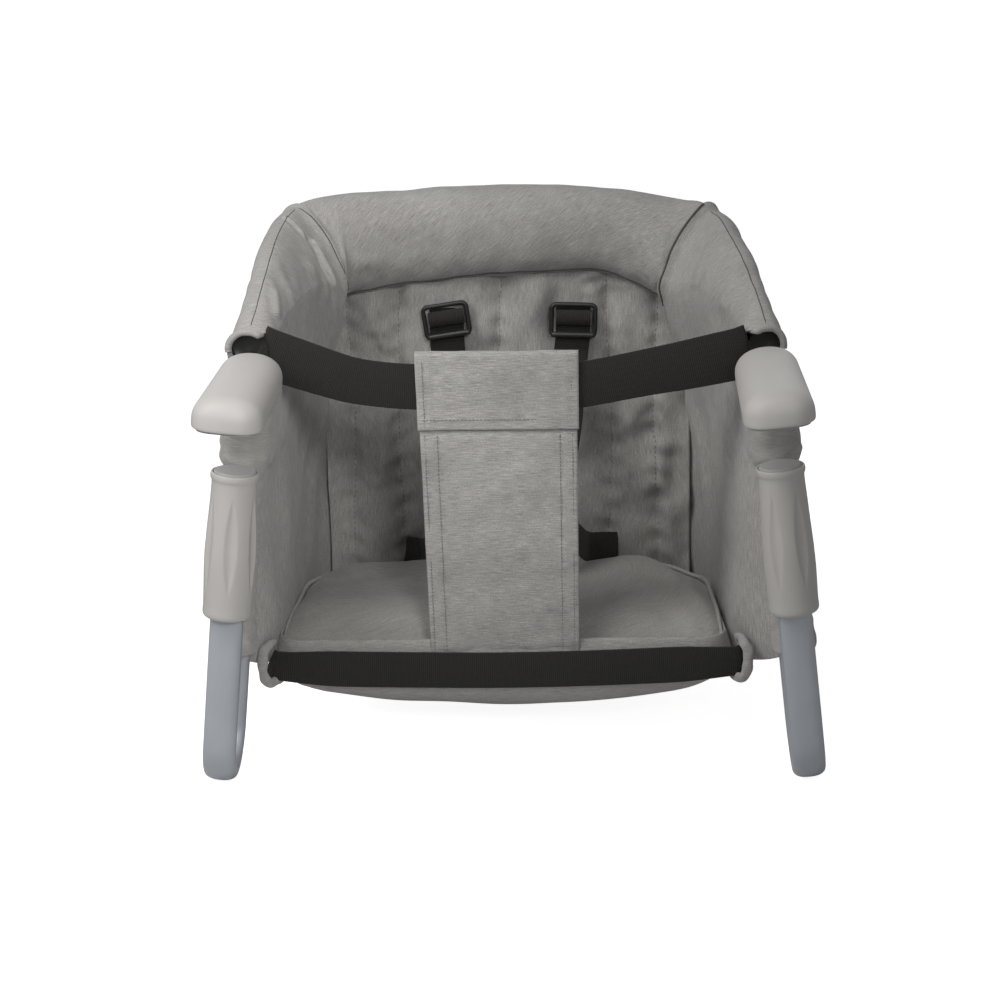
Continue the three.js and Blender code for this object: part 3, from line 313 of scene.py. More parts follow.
# The arms: caps, soles and clamp pads
# Each folding arm is a flat bar in a soft moulded cap, domed on top, round over the pivot and
# blunt in front, clipped over a flat rubber sole. The clamp pad is a moulded rubber disc.
def ease(share):
    share = np.clip(share, 0, 1)
    return share * share * (3 - 2 * share)


def arm_place(points, side):
    """Points of a leaning arm in the chair's frame, in millimetres.

    They are given with the arm's pivot at the origin and its post along -Z.
    """
    fold = next(j for j in frame["joints"] if j["name"] == f"{side}_arm_fold")
    lean = math.asin(abs(fold["axis"][0]))
    turned = np.array(Matrix.Rotation(-SIDES[side] * lean, 3, "Y"))
    return np.asarray(points, float) @ turned.T + np.array(fold["pos_m"]) / MM


def even(points, count, closed=False):
    """A polyline again, as evenly spaced points."""
    points = np.asarray(points, float)
    if closed:
        points = np.concatenate([points, points[:1]])
    run = np.concatenate([[0], np.cumsum(np.linalg.norm(np.diff(points, axis=0), axis=1))])
    spots = np.linspace(0, run[-1], count + 1)[:-1] if closed else np.linspace(0, run[-1], count)
    return np.stack([np.interp(spots, run, points[:, k]) for k in range(points.shape[1])], axis=1)


def arc(centre, radius, start, end, steps=12):
    angles = np.radians(np.linspace(start, end, steps + 1))
    return [(centre[0] + radius * math.cos(a), centre[1] + radius * math.sin(a)) for a in angles]


def skin(name, rows, ring=False, capped=False):
    """A surface through rows of points in millimetres.

    Its UV map is its flat size in metres, which the weave reads.
    """
    rows = np.asarray(rows, float) * MM
    count, across = rows.shape[:2]
    closed = np.concatenate([rows, rows[:, :1]], axis=1) if ring else rows
    over = np.linalg.norm(np.diff(closed, axis=1), axis=2)
    u = np.concatenate([np.zeros((count, 1)), np.cumsum(over, axis=1)], axis=1)
    u -= u[:, -1:] / 2
    v = np.concatenate([[0], np.cumsum(np.linalg.norm(np.diff(rows, axis=0), axis=2).mean(axis=1))])
    points = [tuple(p) for p in rows.reshape(-1, 3)]
    faces, spots = [], []
    for r, c in itertools.product(range(count - 1), range(closed.shape[1] - 1)):
        d = (c + 1) % across
        faces.append((r * across + c, r * across + d, (r + 1) * across + d, (r + 1) * across + c))
        spots += [(u[r, c], v[r]), (u[r, c + 1], v[r]), (u[r + 1, c + 1], v[r + 1]), (u[r + 1, c], v[r + 1])]
    for r in (0, count - 1) if capped else ():
        middle = rows[r].mean(axis=0)
        points.append(tuple(middle))
        for c in range(across):
            pair = (c, (c + 1) % across) if r else ((c + 1) % across, c)
            faces.append((r * across + pair[0], r * across + pair[1], len(points) - 1))
            spots += [tuple(rows[r, k][[0, 2]]) for k in pair] + [(middle[0], middle[2])]
    mesh = bpy.data.meshes.new(name)
    mesh.from_pydata(points, [], faces)
    mesh.uv_layers.new(name="cut").data.foreach_set("uv", np.array(spots, np.float32).ravel())
    mesh.polygons.foreach_set("use_smooth", [True] * len(faces))
    mesh.update()
    piece = bpy.data.objects.new(name, mesh)
    scene.collection.objects.link(piece)
    return piece


SAME_POINT = 0.02 * MM


def welded(piece):
    weld = piece.modifiers.new("welded", "WELD")
    weld.merge_threshold = SAME_POINT
    return piece


def rounded(piece, levels=1):
    smooth = piece.modifiers.new("rounded", "SUBSURF")
    smooth.levels = smooth.render_levels = levels
    return piece


CAP_REAR, CAP_REAR_RADIUS, CAP_FRONT = 26, 21, -122
CAP_HALF, CAP_CORNER, CAP_RIDGE_END = 22.3, 15, -106
CAP_FLANK, CAP_TOP, CAP_DOME, CAP_NOSE = 6.5, 22.6, 2.35, 0.6
# the lip under the cap: how far in from its outline, and how high
CAP_LIP = ((2.6, 2.8), (2.4, 1.4), (1.5, 1.2), (0.5, 1.6), (0.1, 2.6), (0, 4.2), (0, CAP_FLANK))


def cap_half_outline(count=40):
    """The cap's right half from above, from the rear tip to the middle of its front."""
    middle = CAP_REAR - CAP_REAR_RADIUS
    turn = [(-y, x) for x, y in arc((0, 0), CAP_REAR_RADIUS, 0, -90, 18)]
    turn = [(x, y + middle) for x, y in turn]
    corner = arc((CAP_HALF - CAP_CORNER, CAP_FRONT + CAP_CORNER), CAP_CORNER, 0, -90, 12)
    return even(turn + corner + [(0, CAP_FRONT - CAP_NOSE)], count)


def cap_surface():
    half = cap_half_outline()
    outline = np.concatenate([half, (half * (-1, 1))[-2:0:-1]])
    ridge_y = np.clip(outline[:, 1], CAP_RIDGE_END, CAP_REAR - CAP_REAR_RADIUS)
    ridge = np.stack([np.zeros_like(ridge_y), ridge_y], axis=1)
    inward = (ridge - outline) / np.linalg.norm(ridge - outline, axis=1)[:, None]
    rows = []
    for inset, height in CAP_LIP:
        rows.append(np.column_stack([outline + inward * inset, np.full(len(outline), height)]))
    for angle in np.radians(np.linspace(7, 90, 16)):
        share = math.cos(angle) ** (2 / CAP_DOME)
        height = CAP_FLANK + (CAP_TOP - CAP_FLANK) * math.sin(angle) ** (2 / CAP_DOME)
        rows.append(np.column_stack([ridge + (outline - ridge) * share, np.full(len(outline), height)]))
    return np.array(rows)


cap_plastic = moulded("pale cap plastic", 191, 3.5, 0.5, 0.04 * MM)
pad_rubber = moulded("grey rubber", 168, 2.0, 0.75, 0.12 * MM)
for side in SIDES:
    cap = rounded(welded(skin(f"{side}_cap_shell", arm_place(cap_surface(), side), ring=True)))
    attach(cap, f"{side}_arm")
    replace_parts(dress(cap, cap_plastic), f"{side}_arm_cap")
    keep(f"{side}_arm_sole", pad_rubber)
    keep(f"{side}_clamp_pad", pad_rubber, 0)


# The clamp tubes
# One flat oval tube per arm, bent round from the post under the hinge to the front leg, with
# a satin grey finish. Its ends are cut square and are hidden in the hinge and in the grip.
TUBE_WIDE, TUBE_THICK, TUBE_WALL, OVAL = 11, 6.5, 1.6, 2.5
LEG_SPACING, BEND, BEND_LEVEL = 50, 25, -232.5
POST_TOP, LEG_TOP = -73.9, -110


def oval(centre, along, wide, thick, count=40):
    """One ring of the tube's flat oval section round a point of the arm's plane."""
    angles = np.linspace(0, 2 * math.pi, count, endpoint=False)
    across = np.sign(np.cos(angles)) * np.abs(np.cos(angles)) ** (2 / OVAL) * wide
    over = np.sign(np.sin(angles)) * np.abs(np.sin(angles)) ** (2 / OVAL) * thick
    normal = np.array((0, -along[1], along[0]))
    return np.array((0, *centre)) + np.outer(across, (1, 0, 0)) + np.outer(over, normal)


def clamp_tube_rings():
    bore = (TUBE_WIDE - TUBE_WALL, TUBE_THICK - TUBE_WALL)
    rings = [oval((0, POST_TOP), (0, -1), *bore)]
    for level in np.linspace(POST_TOP, BEND_LEVEL, 12):
        rings.append(oval((0, level), (0, -1), TUBE_WIDE, TUBE_THICK))
    for angle in np.radians(np.linspace(0, 180, 33))[1:-1]:
        centre = (-BEND + BEND * math.cos(angle), BEND_LEVEL - BEND * math.sin(angle))
        rings.append(oval(centre, (-math.sin(angle), -math.cos(angle)), TUBE_WIDE, TUBE_THICK))
    for level in np.linspace(BEND_LEVEL, LEG_TOP, 10):
        rings.append(oval((-LEG_SPACING, level), (0, 1), TUBE_WIDE, TUBE_THICK))
    rings.append(oval((-LEG_SPACING, LEG_TOP), (0, 1), *bore))
    return np.array(rings)


PAINT_CLOUD, ORANGE_PEEL, PEEL_DEPTH = 30 * MM, 1.6 * MM, 0.03 * MM


def painted(name, colour_low, colour_high):
    """Satin paint on drawn tube: near even colour, slow mottling, a fine orange peel."""
    paint = Finish(bpy.data.materials.new(name))
    place = coordinates(paint)
    cloud = noise_at(paint, place, PAINT_CLOUD)
    peel = noise_at(paint, place, ORANGE_PEEL, 2)
    bump = paint.bump(peel, 0.2, PEEL_DEPTH)
    return paint.shade(Base_Color=paint.blend(cloud, colour_low, colour_high), Metallic=0.35,
                       Roughness=cloud * 0.1 + 0.42, Normal=bump)


def tint(red, green, blue):
    """A colour in 0 to 255 steps, for the shader."""
    return tuple(grey(value)[0] for value in (red, green, blue)) + (1.0,)


tube_paint = painted("satin tube paint", tint(168, 172, 178), tint(180, 184, 190))
for side in SIDES:
    tube = skin(f"{side}_clamp_oval", arm_place(clamp_tube_rings(), side), ring=True)
    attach(tube, f"{side}_arm")
    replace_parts(dress(tube, tube_paint), f"{side}_clamp_tube")


# The twist grips
# Each is one moulded sleeve that turns round the front leg: a rolled rim, a narrow waist, a
# full belly with six lens-shaped flutes and a chamfered foot.
GRIP_TOP, GRIP_LENGTH, GRIP_FLUTES, GRIP_FLUTE_DEPTH = -42, 98, 6, 1.7
# how far down the grip, and its radius there
GRIP_PROFILE = (
    (0, 15.2), (0.3, 15.5), (1.0, 15.8), (2.8, 15.9), (4.2, 15.6), (5.2, 15.0), (7, 14.8), (14, 15.0),
    (26, 15.6), (40, 16.4), (54, 17.0), (66, 16.9), (80, 16.4), (90, 16.1), (94, 16.3), (96, 16.2),
    (97.2, 15.4), (98, 14.2))
GRIP_DEPTHS = np.array([0, 0.3, 0.8, 1.6, 2.6, 3.4, 4.2, 5, 6, 8, *np.linspace(11, 90, 38),
                        92, 94, 95.5, 96.4, 97.2, 97.7, 98])
FLUTE_START_SHARE, FLUTE_END_SHARE, FLUTE_WIDTH_SHARE = 0.16, 0.8, 0.5
GRIP_POCKET, GRIP_POCKET_DEPTH = 14.35, 4
GRIP_TURN = {"left": -0.42, "right": 0.0}


def grip_rings(turn):
    radii = np.interp(GRIP_DEPTHS, *zip(*GRIP_PROFILE))
    angles = np.linspace(0, 2 * math.pi, 144, endpoint=False)
    lobe = angles * GRIP_FLUTES / (2 * math.pi)
    aside = np.abs(lobe - np.round(lobe)) * 2
    run = (GRIP_DEPTHS / GRIP_LENGTH - FLUTE_START_SHARE) / (FLUTE_END_SHARE - FLUTE_START_SHARE)
    lens = np.where((run > 0) & (run < 1), np.sin(np.pi * np.clip(run, 0, 1)), 0)
    wide = FLUTE_WIDTH_SHARE * np.maximum(lens, 1e-6) ** 0.8
    dip = GRIP_FLUTE_DEPTH * lens[:, None] ** 0.6 * np.maximum(0, 1 - (aside[None] / wide[:, None]) ** 2)
    reach = radii[:, None] - dip
    x, y = np.cos(angles + turn) * reach, np.sin(angles + turn) * reach - LEG_SPACING
    z = np.broadcast_to((GRIP_TOP - GRIP_DEPTHS)[:, None], x.shape)
    body = np.stack([x, y, z], axis=2)
    middle = np.array((0, -LEG_SPACING, GRIP_TOP - GRIP_LENGTH))
    lip = (body[-1] - middle) * 0.9 + middle
    inside = [lip + (0, 0, 0.2), lip + (0, 0, 6)]
    top_middle = np.array((0, -LEG_SPACING, GRIP_TOP))
    rim = (body[0] - top_middle) * (GRIP_POCKET / GRIP_PROFILE[0][1]) + top_middle
    top = [(rim - top_middle) * 0.3 + top_middle - (0, 0, GRIP_POCKET_DEPTH), rim - (0, 0, GRIP_POCKET_DEPTH),
           rim - (0, 0, 0.4), rim * 0.97 + body[0] * 0.03]
    return np.concatenate([top, body, inside])


grip_plastic = moulded("grip plastic", 184, 3.5, 0.46, 0.05 * MM)
for side in SIDES:
    grip = skin(f"{side}_grip_sleeve", arm_place(grip_rings(GRIP_TURN[side]), side), ring=True)
    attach(grip, f"{side}_grip")
    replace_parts(dress(grip, grip_plastic), f"{side}_twist_grip")


# The fabric
# One heather-grey woven polyester for the covers, a paler one for the leg panel: light and
# dark threads crossing, a fine weave in relief, hardly any gloss.
YARNS = ((9 * MM, 0.6 * MM), (0.6 * MM, 2.2 * MM))
FUZZ, SLOW_SHADE, WEAVE_PITCH, WEAVE_RELIEF = 0.7 * MM, 50 * MM, 0.7 * MM, 0.1 * MM
CLOTH_WARMTH = 3.0
WARP_PITCH, WEB_FUZZ, WEB_RELIEF = 0.9 * MM, 0.8 * MM, 0.22 * MM


def melange(name, tone, contrast=27, turn=0.0):
    """Woven cloth of mixed light and dark yarn; turn is the angle of its long flecks on the flat cut."""
    cloth_finish = Finish(bpy.data.materials.new(name))
    flat = cloth_finish.node("ShaderNodeUVMap", {"uv_map": "cut"})
    turned = cloth_finish.node("ShaderNodeVectorRotate", {"rotation_type": "Z_AXIS"},
                               {"Vector": flat, "Angle": turn})
    yarns = []
    for long_way, short_way in YARNS:
        stretch = stretched(cloth_finish, turned, (1 / long_way, 1 / short_way, 1))
        yarns.append(noise_at(cloth_finish, stretch, 1, 2, 0.5))
    fleck = noise_at(cloth_finish, coordinates(cloth_finish), FUZZ, 2)
    slow = noise_at(cloth_finish, coordinates(cloth_finish), SLOW_SHADE, 2)
    mixed = yarns[0] * 0.5 + yarns[1] * 0.15 + fleck * 0.35
    share = (mixed - 0.5) * 2.6 + (slow - 0.5) * 0.4 + 0.5
    stops = [(place, grey(tone + step * contrast, CLOTH_WARMTH))
             for place, step in ((0.1, -1), (0.5, 0), (0.9, 1))]
    colour = cloth_finish.node("ShaderNodeValToRGB", {"stops": stops}, {0: share})
    weave_way = stretched(cloth_finish, turned, (2 * math.pi / WEAVE_PITCH,) * 2 + (1,))
    parts = cloth_finish.node("ShaderNodeSeparateXYZ", None, {0: weave_way}).socket.node.outputs
    weave = Reading(cloth_finish, parts[0]).swing() * Reading(cloth_finish, parts[1]).swing()
    bump = cloth_finish.bump(weave * 0.3 + mixed, 0.5, WEAVE_RELIEF)
    return cloth_finish.shade(Base_Color=colour, Roughness=mixed * 0.1 + 0.86, Normal=bump, Sheen_Weight=0.15,
                              Sheen_Roughness=0.5, Specular_IOR_Level=0.2)


def ribbed(name, tone, pitch=1.35 * MM):
    """Black webbing: ribs across the strap, each broken by the warp that crosses it."""
    web = Finish(bpy.data.materials.new(name))
    flat = web.node("ShaderNodeUVMap", {"uv_map": "cut"})
    parts = web.node("ShaderNodeSeparateXYZ", None, {0: flat}).socket.node.outputs
    across, along = Reading(web, parts[0]), Reading(web, parts[1])
    rib = (along * (2 * math.pi / pitch)).swing()
    warp = (across * (2 * math.pi / WARP_PITCH)).swing()
    fuzz = noise_at(web, coordinates(web), WEB_FUZZ, 2)
    share = rib * 0.32 + warp * 0.1 + fuzz * 0.4 + 0.3
    colour = web.blend(share, grey(tone - 12, 1.0), grey(tone + 16, 1.5))
    bump = web.bump(rib * 0.6 + warp * 0.3 + fuzz, 0.9, WEB_RELIEF)
    return web.shade(Base_Color=colour, Roughness=fuzz * 0.15 + 0.72, Normal=bump, Sheen_Weight=0.1,
                     Specular_IOR_Level=0.3)


cloth = melange("heather cloth", 166)
cloth_turned = melange("heather cloth across", 164, turn=math.radians(90))
cloth_bias = melange("heather cloth on the bias", 166, turn=math.radians(50))
panel_cloth = melange("paler panel cloth", 169, contrast=30)
hem_cloth = melange("hem cloth", 166, contrast=16)
webbing = ribbed("black webbing", 31)
thread = moulded("grey thread", 128, 1.5, 0.8, 0.1 * MM)


def unit(vectors):
    return vectors / np.maximum(np.linalg.norm(vectors, axis=-1, keepdims=True), 1e-9)


def facing(rows, ring=False):
    """Unit normals of a grid of points, on the side to the left of its rows as they are laid."""
    along = np.gradient(rows, axis=0)
    across = (np.roll(rows, -1, axis=1) - np.roll(rows, 1, axis=1)) if ring else np.gradient(rows, axis=1)
    return unit(np.cross(across, along))


def facing_out(rows, middle):
    """Unit normals of a closed skin, pointing away from its middle."""
    normal = facing(rows, ring=True)
    return normal * np.sign(np.sum(normal * (rows - middle), axis=2).mean())


def ripple(points, size, seed, stretch=(1, 1, 1), count=14):
    """Smooth random waves of about unit height, whose length is near size in millimetres."""
    rng = np.random.default_rng(seed)
    total = np.zeros(points.shape[:-1])
    for _ in range(count):
        way = rng.normal(size=3)
        way = way / np.linalg.norm(way) / np.array(stretch) * 2 * math.pi / (size * rng.uniform(0.7, 1.4))
        total += np.sin(points @ way + rng.uniform(0, 2 * math.pi))
    return total / math.sqrt(count / 2)


def waves(points, trains):
    """Several ripples in one: the height, size, seed and stretch of each."""
    return sum(height * ripple(points, *train) for height, *train in trains)


def nearness(points, line):
    """Distance in millimetres of every point from a polyline."""
    best = np.full(points.shape[:-1], np.inf)
    for start, end in zip(np.array(line, float), np.array(line, float)[1:]):
        run = end - start
        share = np.clip(((points - start) @ run) / (run @ run), 0, 1)
        best = np.minimum(best, np.linalg.norm(points - start - share[..., None] * run, axis=-1))
    return best


def valley(points, line, width, depth):
    """How far points sink along a crease that follows a polyline, with a small swell beside it."""
    share = nearness(points, line) / width
    return depth * (np.exp(-share ** 2) - 0.35 * np.exp(-(share - 2.2) ** 2))


def refined(net, steps, closed=False):
    """Smooth curves through the rows of a net of points, with so many steps from row to row."""
    net = np.asarray(net, float)
    ends = (net[-1:], net[:2]) if closed else (2 * net[:1] - net[1:2], 2 * net[-1:] - net[-2:-1])
    wide = np.concatenate([ends[0], net, ends[1]])
    a, b, c, d = wide[:-3], wide[1:-2], wide[2:-1], wide[3:]
    t = np.linspace(0, 1, steps, endpoint=False).reshape(-1, *[1] * net.ndim)
    curve = 0.5 * (2 * b + (c - a) * t + (2 * a - 5 * b + 4 * c - d) * t * t
                   + (3 * b - a - 3 * c + d) * t ** 3)
    rows = np.moveaxis(curve, 0, 1).reshape(-1, *net.shape[1:])
    return rows if closed else np.concatenate([rows, net[-1:]])


def spline(points, count, closed=False):
    """A smooth curve through control points, evenly spaced."""
    return even(refined(points, 12, closed), count, closed)


# the webbing's section, across its half width and its thickness
WEB_SECTION = ((-1, 0), (-1, -0.35), (-0.96, -0.5), (0, -0.5), (0.96, -0.5), (1, -0.35), (1, 0), (1, 0.35),
               (0.96, 0.5), (0, 0.5), (-0.96, 0.5), (-1, 0.35))


def strip(name, path, up, width, thick, finish):
    """Flat webbing along a path: up is the way its width points, at one place or at every point."""
    path = np.asarray(path, float)
    up = np.broadcast_to(np.asarray(up, float), path.shape)
    along = unit(np.gradient(path, axis=0))
    up = unit(up - along * np.sum(up * along, axis=1, keepdims=True))
    out = np.cross(along, up)
    half = np.broadcast_to(np.asarray(width, float) / 2, len(path))
    rows = [[p + u * h * x + o * thick * y for x, y in WEB_SECTION]
            for p, u, o, h in zip(path, up, out, half)]
    return dress(skin(name, rows, ring=True, capped=True), finish)


def stitches(name, path, up, pitch=3.2, length=2.3, girth=0.42):
    """A run of thread stitches that stand a little proud along a path."""
    path = np.asarray(path, float)
    run = np.concatenate([[0], np.cumsum(np.linalg.norm(np.diff(path, axis=0), axis=1))])
    count = max(2, int(run[-1] / pitch))
    starts = (np.arange(count) + 0.2) * pitch
    firsts, lasts = (np.stack([np.interp(spots, run, path[:, k]) for k in range(3)], axis=1)
                     for spots in (starts, starts + length))
    up = np.asarray(up, float)
    points, faces = [], []
    for first, last in zip(firsts, lasts):
        way = unit(last - first)
        side_way = unit(np.cross(way, up))
        rise = np.cross(side_way, way)
        base = len(points)
        for share, swell in ((0, 0.25), (0.12, 0.85), (0.5, 1.0), (0.88, 0.85), (1, 0.25)):
            middle = first + (last - first) * share + rise * girth * (0.5 * math.sin(math.pi * share) - 0.3)
            for angle in np.linspace(0, 2 * math.pi, 6, endpoint=False):
                points.append(middle + girth * swell * (side_way * math.cos(angle) + rise * math.sin(angle)))
        for r, c in itertools.product(range(4), range(6)):
            d = (c + 1) % 6
            faces.append((base + r * 6 + c, base + r * 6 + d, base + (r + 1) * 6 + d, base + (r + 1) * 6 + c))
    mesh = bpy.data.meshes.new(name)
    mesh.from_pydata([tuple(p * MM) for p in points], [], faces)
    mesh.polygons.foreach_set("use_smooth", [True] * len(faces))
    piece = bpy.data.objects.new(name, mesh)
    scene.collection.objects.link(piece)
    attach(piece, "seat")
    return dress(piece, thread)


# The side covers
# Each is two layers of cloth sewn round the frame tube as a padded roll, hanging as one wall
# from the tube to the seat, and open in front as a tunnel where the tube meets the arm.

# the padded rim from the left mouth round the back to the right one: x, y, z of its middle; how far
# it reaches outward, up and inward; how far its inmost line and its underside lie below the middle;
# how straight its inner slope is, from 0 for round to 1
RIM = np.array((
    (-173, 25, 19, 15, 15, 14, 0, 12, 0.0), (-170, 38, 29, 14, 16, 15, 2, 14, 0.2),
    (-167, 60, 42, 13, 16, 17, 6, 17, 0.5), (-165, 95, 56, 13, 16, 23, 14, 22, 0.8),
    (-163, 130, 66, 13, 16, 29, 23, 30, 1.0), (-158, 158, 71, 15, 19, 35, 31, 38, 1.0),
    (-148, 180, 72, 18, 22, 36, 31, 43, 0.9), (-126, 194, 70, 21, 27, 30, 14, 45, 0.4),
    (-80, 197, 70, 22, 29, 24, 2, 40, 0), (-10, 197, 73, 22, 29, 23, 0, 36, 0),
    (60, 197, 71, 22, 28, 23, 0, 34, 0), (104, 194, 66, 21, 27, 29, 13, 43, 0.4),
    (129, 182, 66, 18, 23, 34, 29, 42, 0.9), (144, 158, 66, 15, 19, 33, 29, 37, 1.0),
    (151, 130, 61, 12, 16, 27, 21, 29, 1.0), (158, 95, 52, 11, 15, 22, 13, 21, 0.8),
    (165, 60, 38, 10, 15, 17, 6, 17, 0.5), (169, 38, 26, 10, 15, 15, 2, 14, 0.2),
    (172, 25, 17, 10, 15, 15, 0, 12, 0.0)), float)
# where the wall's foot stands below each of the first nine stations
FOOT = {
    "left": (
        (-178, 11), (-169, 26), (-163, 46), (-160, 84), (-159, 122), (-156, 158), (-148, 186), (-128, 200),
        (-80, 204)),
    "right": (
        (178, 11), (160, 27), (150, 46), (146, 84), (144, 122), (140, 156), (133, 184), (112, 200),
        (62, 204)),
}
STEPS, COVER_ROWS, COLUMN_STEPS = 40, 110, 5
COVER_FOOT, COVER_HEM, COVER_END = -205, -186, 7.5
# in stations from the mouth: the mitred seam, how far it lags behind, and the overlap beyond it
SEAM, SEAM_LAG, OVERLAP = 5.5, 0.25, 0.16
SEAM_PULL, SEAM_REACH = {"left": 3.0, "right": 5.6}, {"left": 3.4, "right": 3.0}
MITRE_GIRTH = {"left": 0.5, "right": 0.8}
# no cloth lies in front of this depth below this level, so that the post has room to turn
POST_SWING, SWING_FROM, SWING_OVER = 12.3, -75, 20
# the line of the post that the cover's front edge hangs along
POST_ASIDE, POST_LEAN, POST_BEHIND = 170, 0.1045, 11.0
MOUTH_CUT, MOUTH_LINES = 0.5, (3.5, 5, 9, 11)
SWELL, SWELL_FROM_SEAM, SWELL_WIDTH, END_TUCK = 0.7, 9, 6, 1.6
RIM_ANGLES = (180, 165, 150, 135, 120, 108, 95, 75, 55, 35, 15, -10)
RIM_SQUARE, RIM_SLOPE = 0.9, 0.6
SEAM_START = {"left": 95, "right": 55}
COVER_WAVES = ((0.6, 48, 5, (1, 1, 1.8)), (0.3, 17, 8, (1, 1, 1.5)))


def outward_of(centre, sign):
    along = unit(np.gradient(centre[:, :2], axis=0))
    return np.stack([along[:, 1], -along[:, 0]], axis=1) * sign


def rim_line(stations, outward, angle):
    """A line along the rim: at 0 degrees its outer flank, 90 its crest, 180 its inmost line."""
    over, rise = math.cos(math.radians(angle)), math.sin(math.radians(angle))
    z, out, crest, inner, inmost, low, slope = stations.T[2:]
    straight = RIM_SQUARE + RIM_SLOPE * slope
    if over >= 0:
        aside = over ** RIM_SQUARE * out
        height = abs(rise) ** RIM_SQUARE * (crest if rise >= 0 else -low)
    elif rise >= 0:
        aside = -abs(over) ** straight * inner
        height = (crest + inmost) * rise ** straight - inmost
    else:
        aside = -abs(over) ** RIM_SQUARE * inner
        height = -inmost - (low - inmost) * abs(rise) ** RIM_SQUARE
    return np.column_stack([stations[:, :2] + outward * aside[:, None], z + height])


def seam_at(angle):
    """How many stations from the mouth the mitred seam crosses a line of the rim."""
    return SEAM + SEAM_LAG * float(ease((angle - 150) / 60) * ease((330 - angle) / 60))


def seam_pull(side, angle):
    """How hard the seam draws in a line of the rim: not at all outside, fully on its inner slope."""
    return float(ease((angle - SEAM_START[side]) / 30) * ease((300 - angle) / 50))


def crossing(lines, spots):
    """Points of a sheaf of lines, each line at its own places."""
    before = np.clip(np.floor(spots).astype(int), 0, len(lines) - 2)
    share = (spots - before)[..., None]
    columns = np.arange(lines.shape[1])
    return lines[before, columns] * (1 - share) + lines[before + 1, columns] * share


def cloth_waves(points):
    """The slack of the covers and the roll, which lies calmer along the crest."""
    calm = 0.35 + 0.65 * ease((82 - points[..., 2]) / 30)
    return calm * waves(points, COVER_WAVES)


def side_stations(side):
    stations = refined(RIM if side == "left" else RIM[::-1], STEPS)
    return stations, outward_of(stations, SIDES[side])


def on_rim(side, place, angle):
    """The point of one side's rim that lies so many stations from its mouth."""
    stations, outward = side_stations(side)
    return rim_line(stations, outward, angle)[int(place * STEPS)]


def cover_lines(side):
    """The cover's lines from front to back, up its inner face, over the rim and down its outer face."""
    sign = SIDES[side]
    count = (len(FOOT[side]) - 1) * STEPS + 1
    stations, outward = (part[:count] for part in side_stations(side))
    foot = refined(FOOT[side], STEPS)
    front = np.interp(np.arange(count) / STEPS, (0, 1, 2, 3), (1, 0.55, 0.1, 0))
    foot_level = COVER_FOOT + (COVER_HEM - COVER_FOOT) * front
    z, out, inner, low = stations.T[[2, 3, 5, 7]]

    def hang(pull, offset, level):
        level, offset = np.broadcast_to(level, count), np.broadcast_to(offset, count)
        spot = stations[:, :2] * (1 - pull) + foot * pull
        reach = (ease((6 - level) / 34) * front)[:, None]
        post = np.column_stack([sign * (POST_ASIDE - level * POST_LEAN), np.full(count, POST_BEHIND)])
        return np.column_stack([spot * (1 - reach) + post * reach + outward * offset[:, None], level])

    # each line with the station where it ends and how hard the seam draws it in
    full = inner * (1 - ease(np.arange(count) / STEPS - 5.9))
    lines = [
        (hang(1, 1, foot_level), COVER_END, 0),
        (hang(1, -0.5, foot_level + 14), COVER_END, 0),
        (hang(0.82, -2.5, -132), COVER_END, 0),
        (hang(0.64, -3 - full * 0.1, -82), COVER_END, 0),
        (hang(0.42, -2 - full * 0.36, -36), COVER_END, 0),
        (hang(0.2, -1 - full * 0.72, (z - low) / 2 - 20), 6.9, 0),
        (hang(0.06, -full * 0.96, z - low - 4), 6.1, 0.3)]
    lines += [(rim_line(stations, outward, angle), seam_at(angle) + OVERLAP, seam_pull(side, angle))
              for angle in RIM_ANGLES]
    lines += [
        (hang(0.12, out * 0.8, z - 28), 6.6, 0),
        (hang(0.42, 5, -60), COVER_END, 0),
        (hang(0.74, 4, -130), COVER_END, 0),
        (hang(1, 3.5, foot_level + 12), COVER_END, 0),
        (hang(1, 3, foot_level), COVER_END, 0)]
    net = np.array([line for line, _, _ in lines])
    ends = refined([(end, pull) for _, end, pull in lines], COLUMN_STEPS, closed=True)
    return np.swapaxes(refined(net, COLUMN_STEPS, closed=True), 0, 1), ends[:, 0], np.clip(ends[:, 1], 0, 1)


# folds of the cloth: a line of stations and angles on the rim, or of points; how wide and how deep
COVER_CREASES = {
    "left": (
        (((4.75, 84), (4.72, 105), (4.65, 124)), 1.5, 1.8),
        (((4.85, 132), (4.6, 155), (4.6, 178), (-128, 150, 22)), 2.0, 3.2),
        (((2.0, 128), (1.5, 148)), 2.6, 1.2),
        (((2.9, 112), (2.6, 140), (2.4, 175)), 5, 0.9),
        (((3.9, 150), (3.7, 185)), 5, 1.2),
        (((-146, 150, -60), (-156, 110, -130)), 9, 3),
        (((-163, 60, -20), (-158, 70, -140)), 10, 2.5),
        (((-138, 178, -60), (-148, 160, -160)), 8, 3)),
    "right": (
        (((112, 170, 30), (128, 170, 9), (134, 160, -6)), 1.6, 1.8),
        (((4.1, 130), (3.9, 165)), 4, 1.2),
        (((2.6, 120), (2.4, 165)), 6, 1.2),
        (((148, 130, -60), (143, 120, -150)), 9, 4),
        (((158, 60, 0), (150, 80, -70)), 9, 2.5),
        (((130, 172, -60), (140, 150, -150)), 7, 3.5)),
}
INNER_LINES = 7
SEAM_COLUMN = (INNER_LINES + RIM_ANGLES.index(95)) * COLUMN_STEPS
MITRE = slice((INNER_LINES - 1) * COLUMN_STEPS, SEAM_COLUMN)
MOUTH = slice(9 * COLUMN_STEPS, 18 * COLUMN_STEPS)
HEM_RADIUS, HEM_TUCK, HEM_POINTS, TUCK_POINTS = 2.4, 7, 70, 14
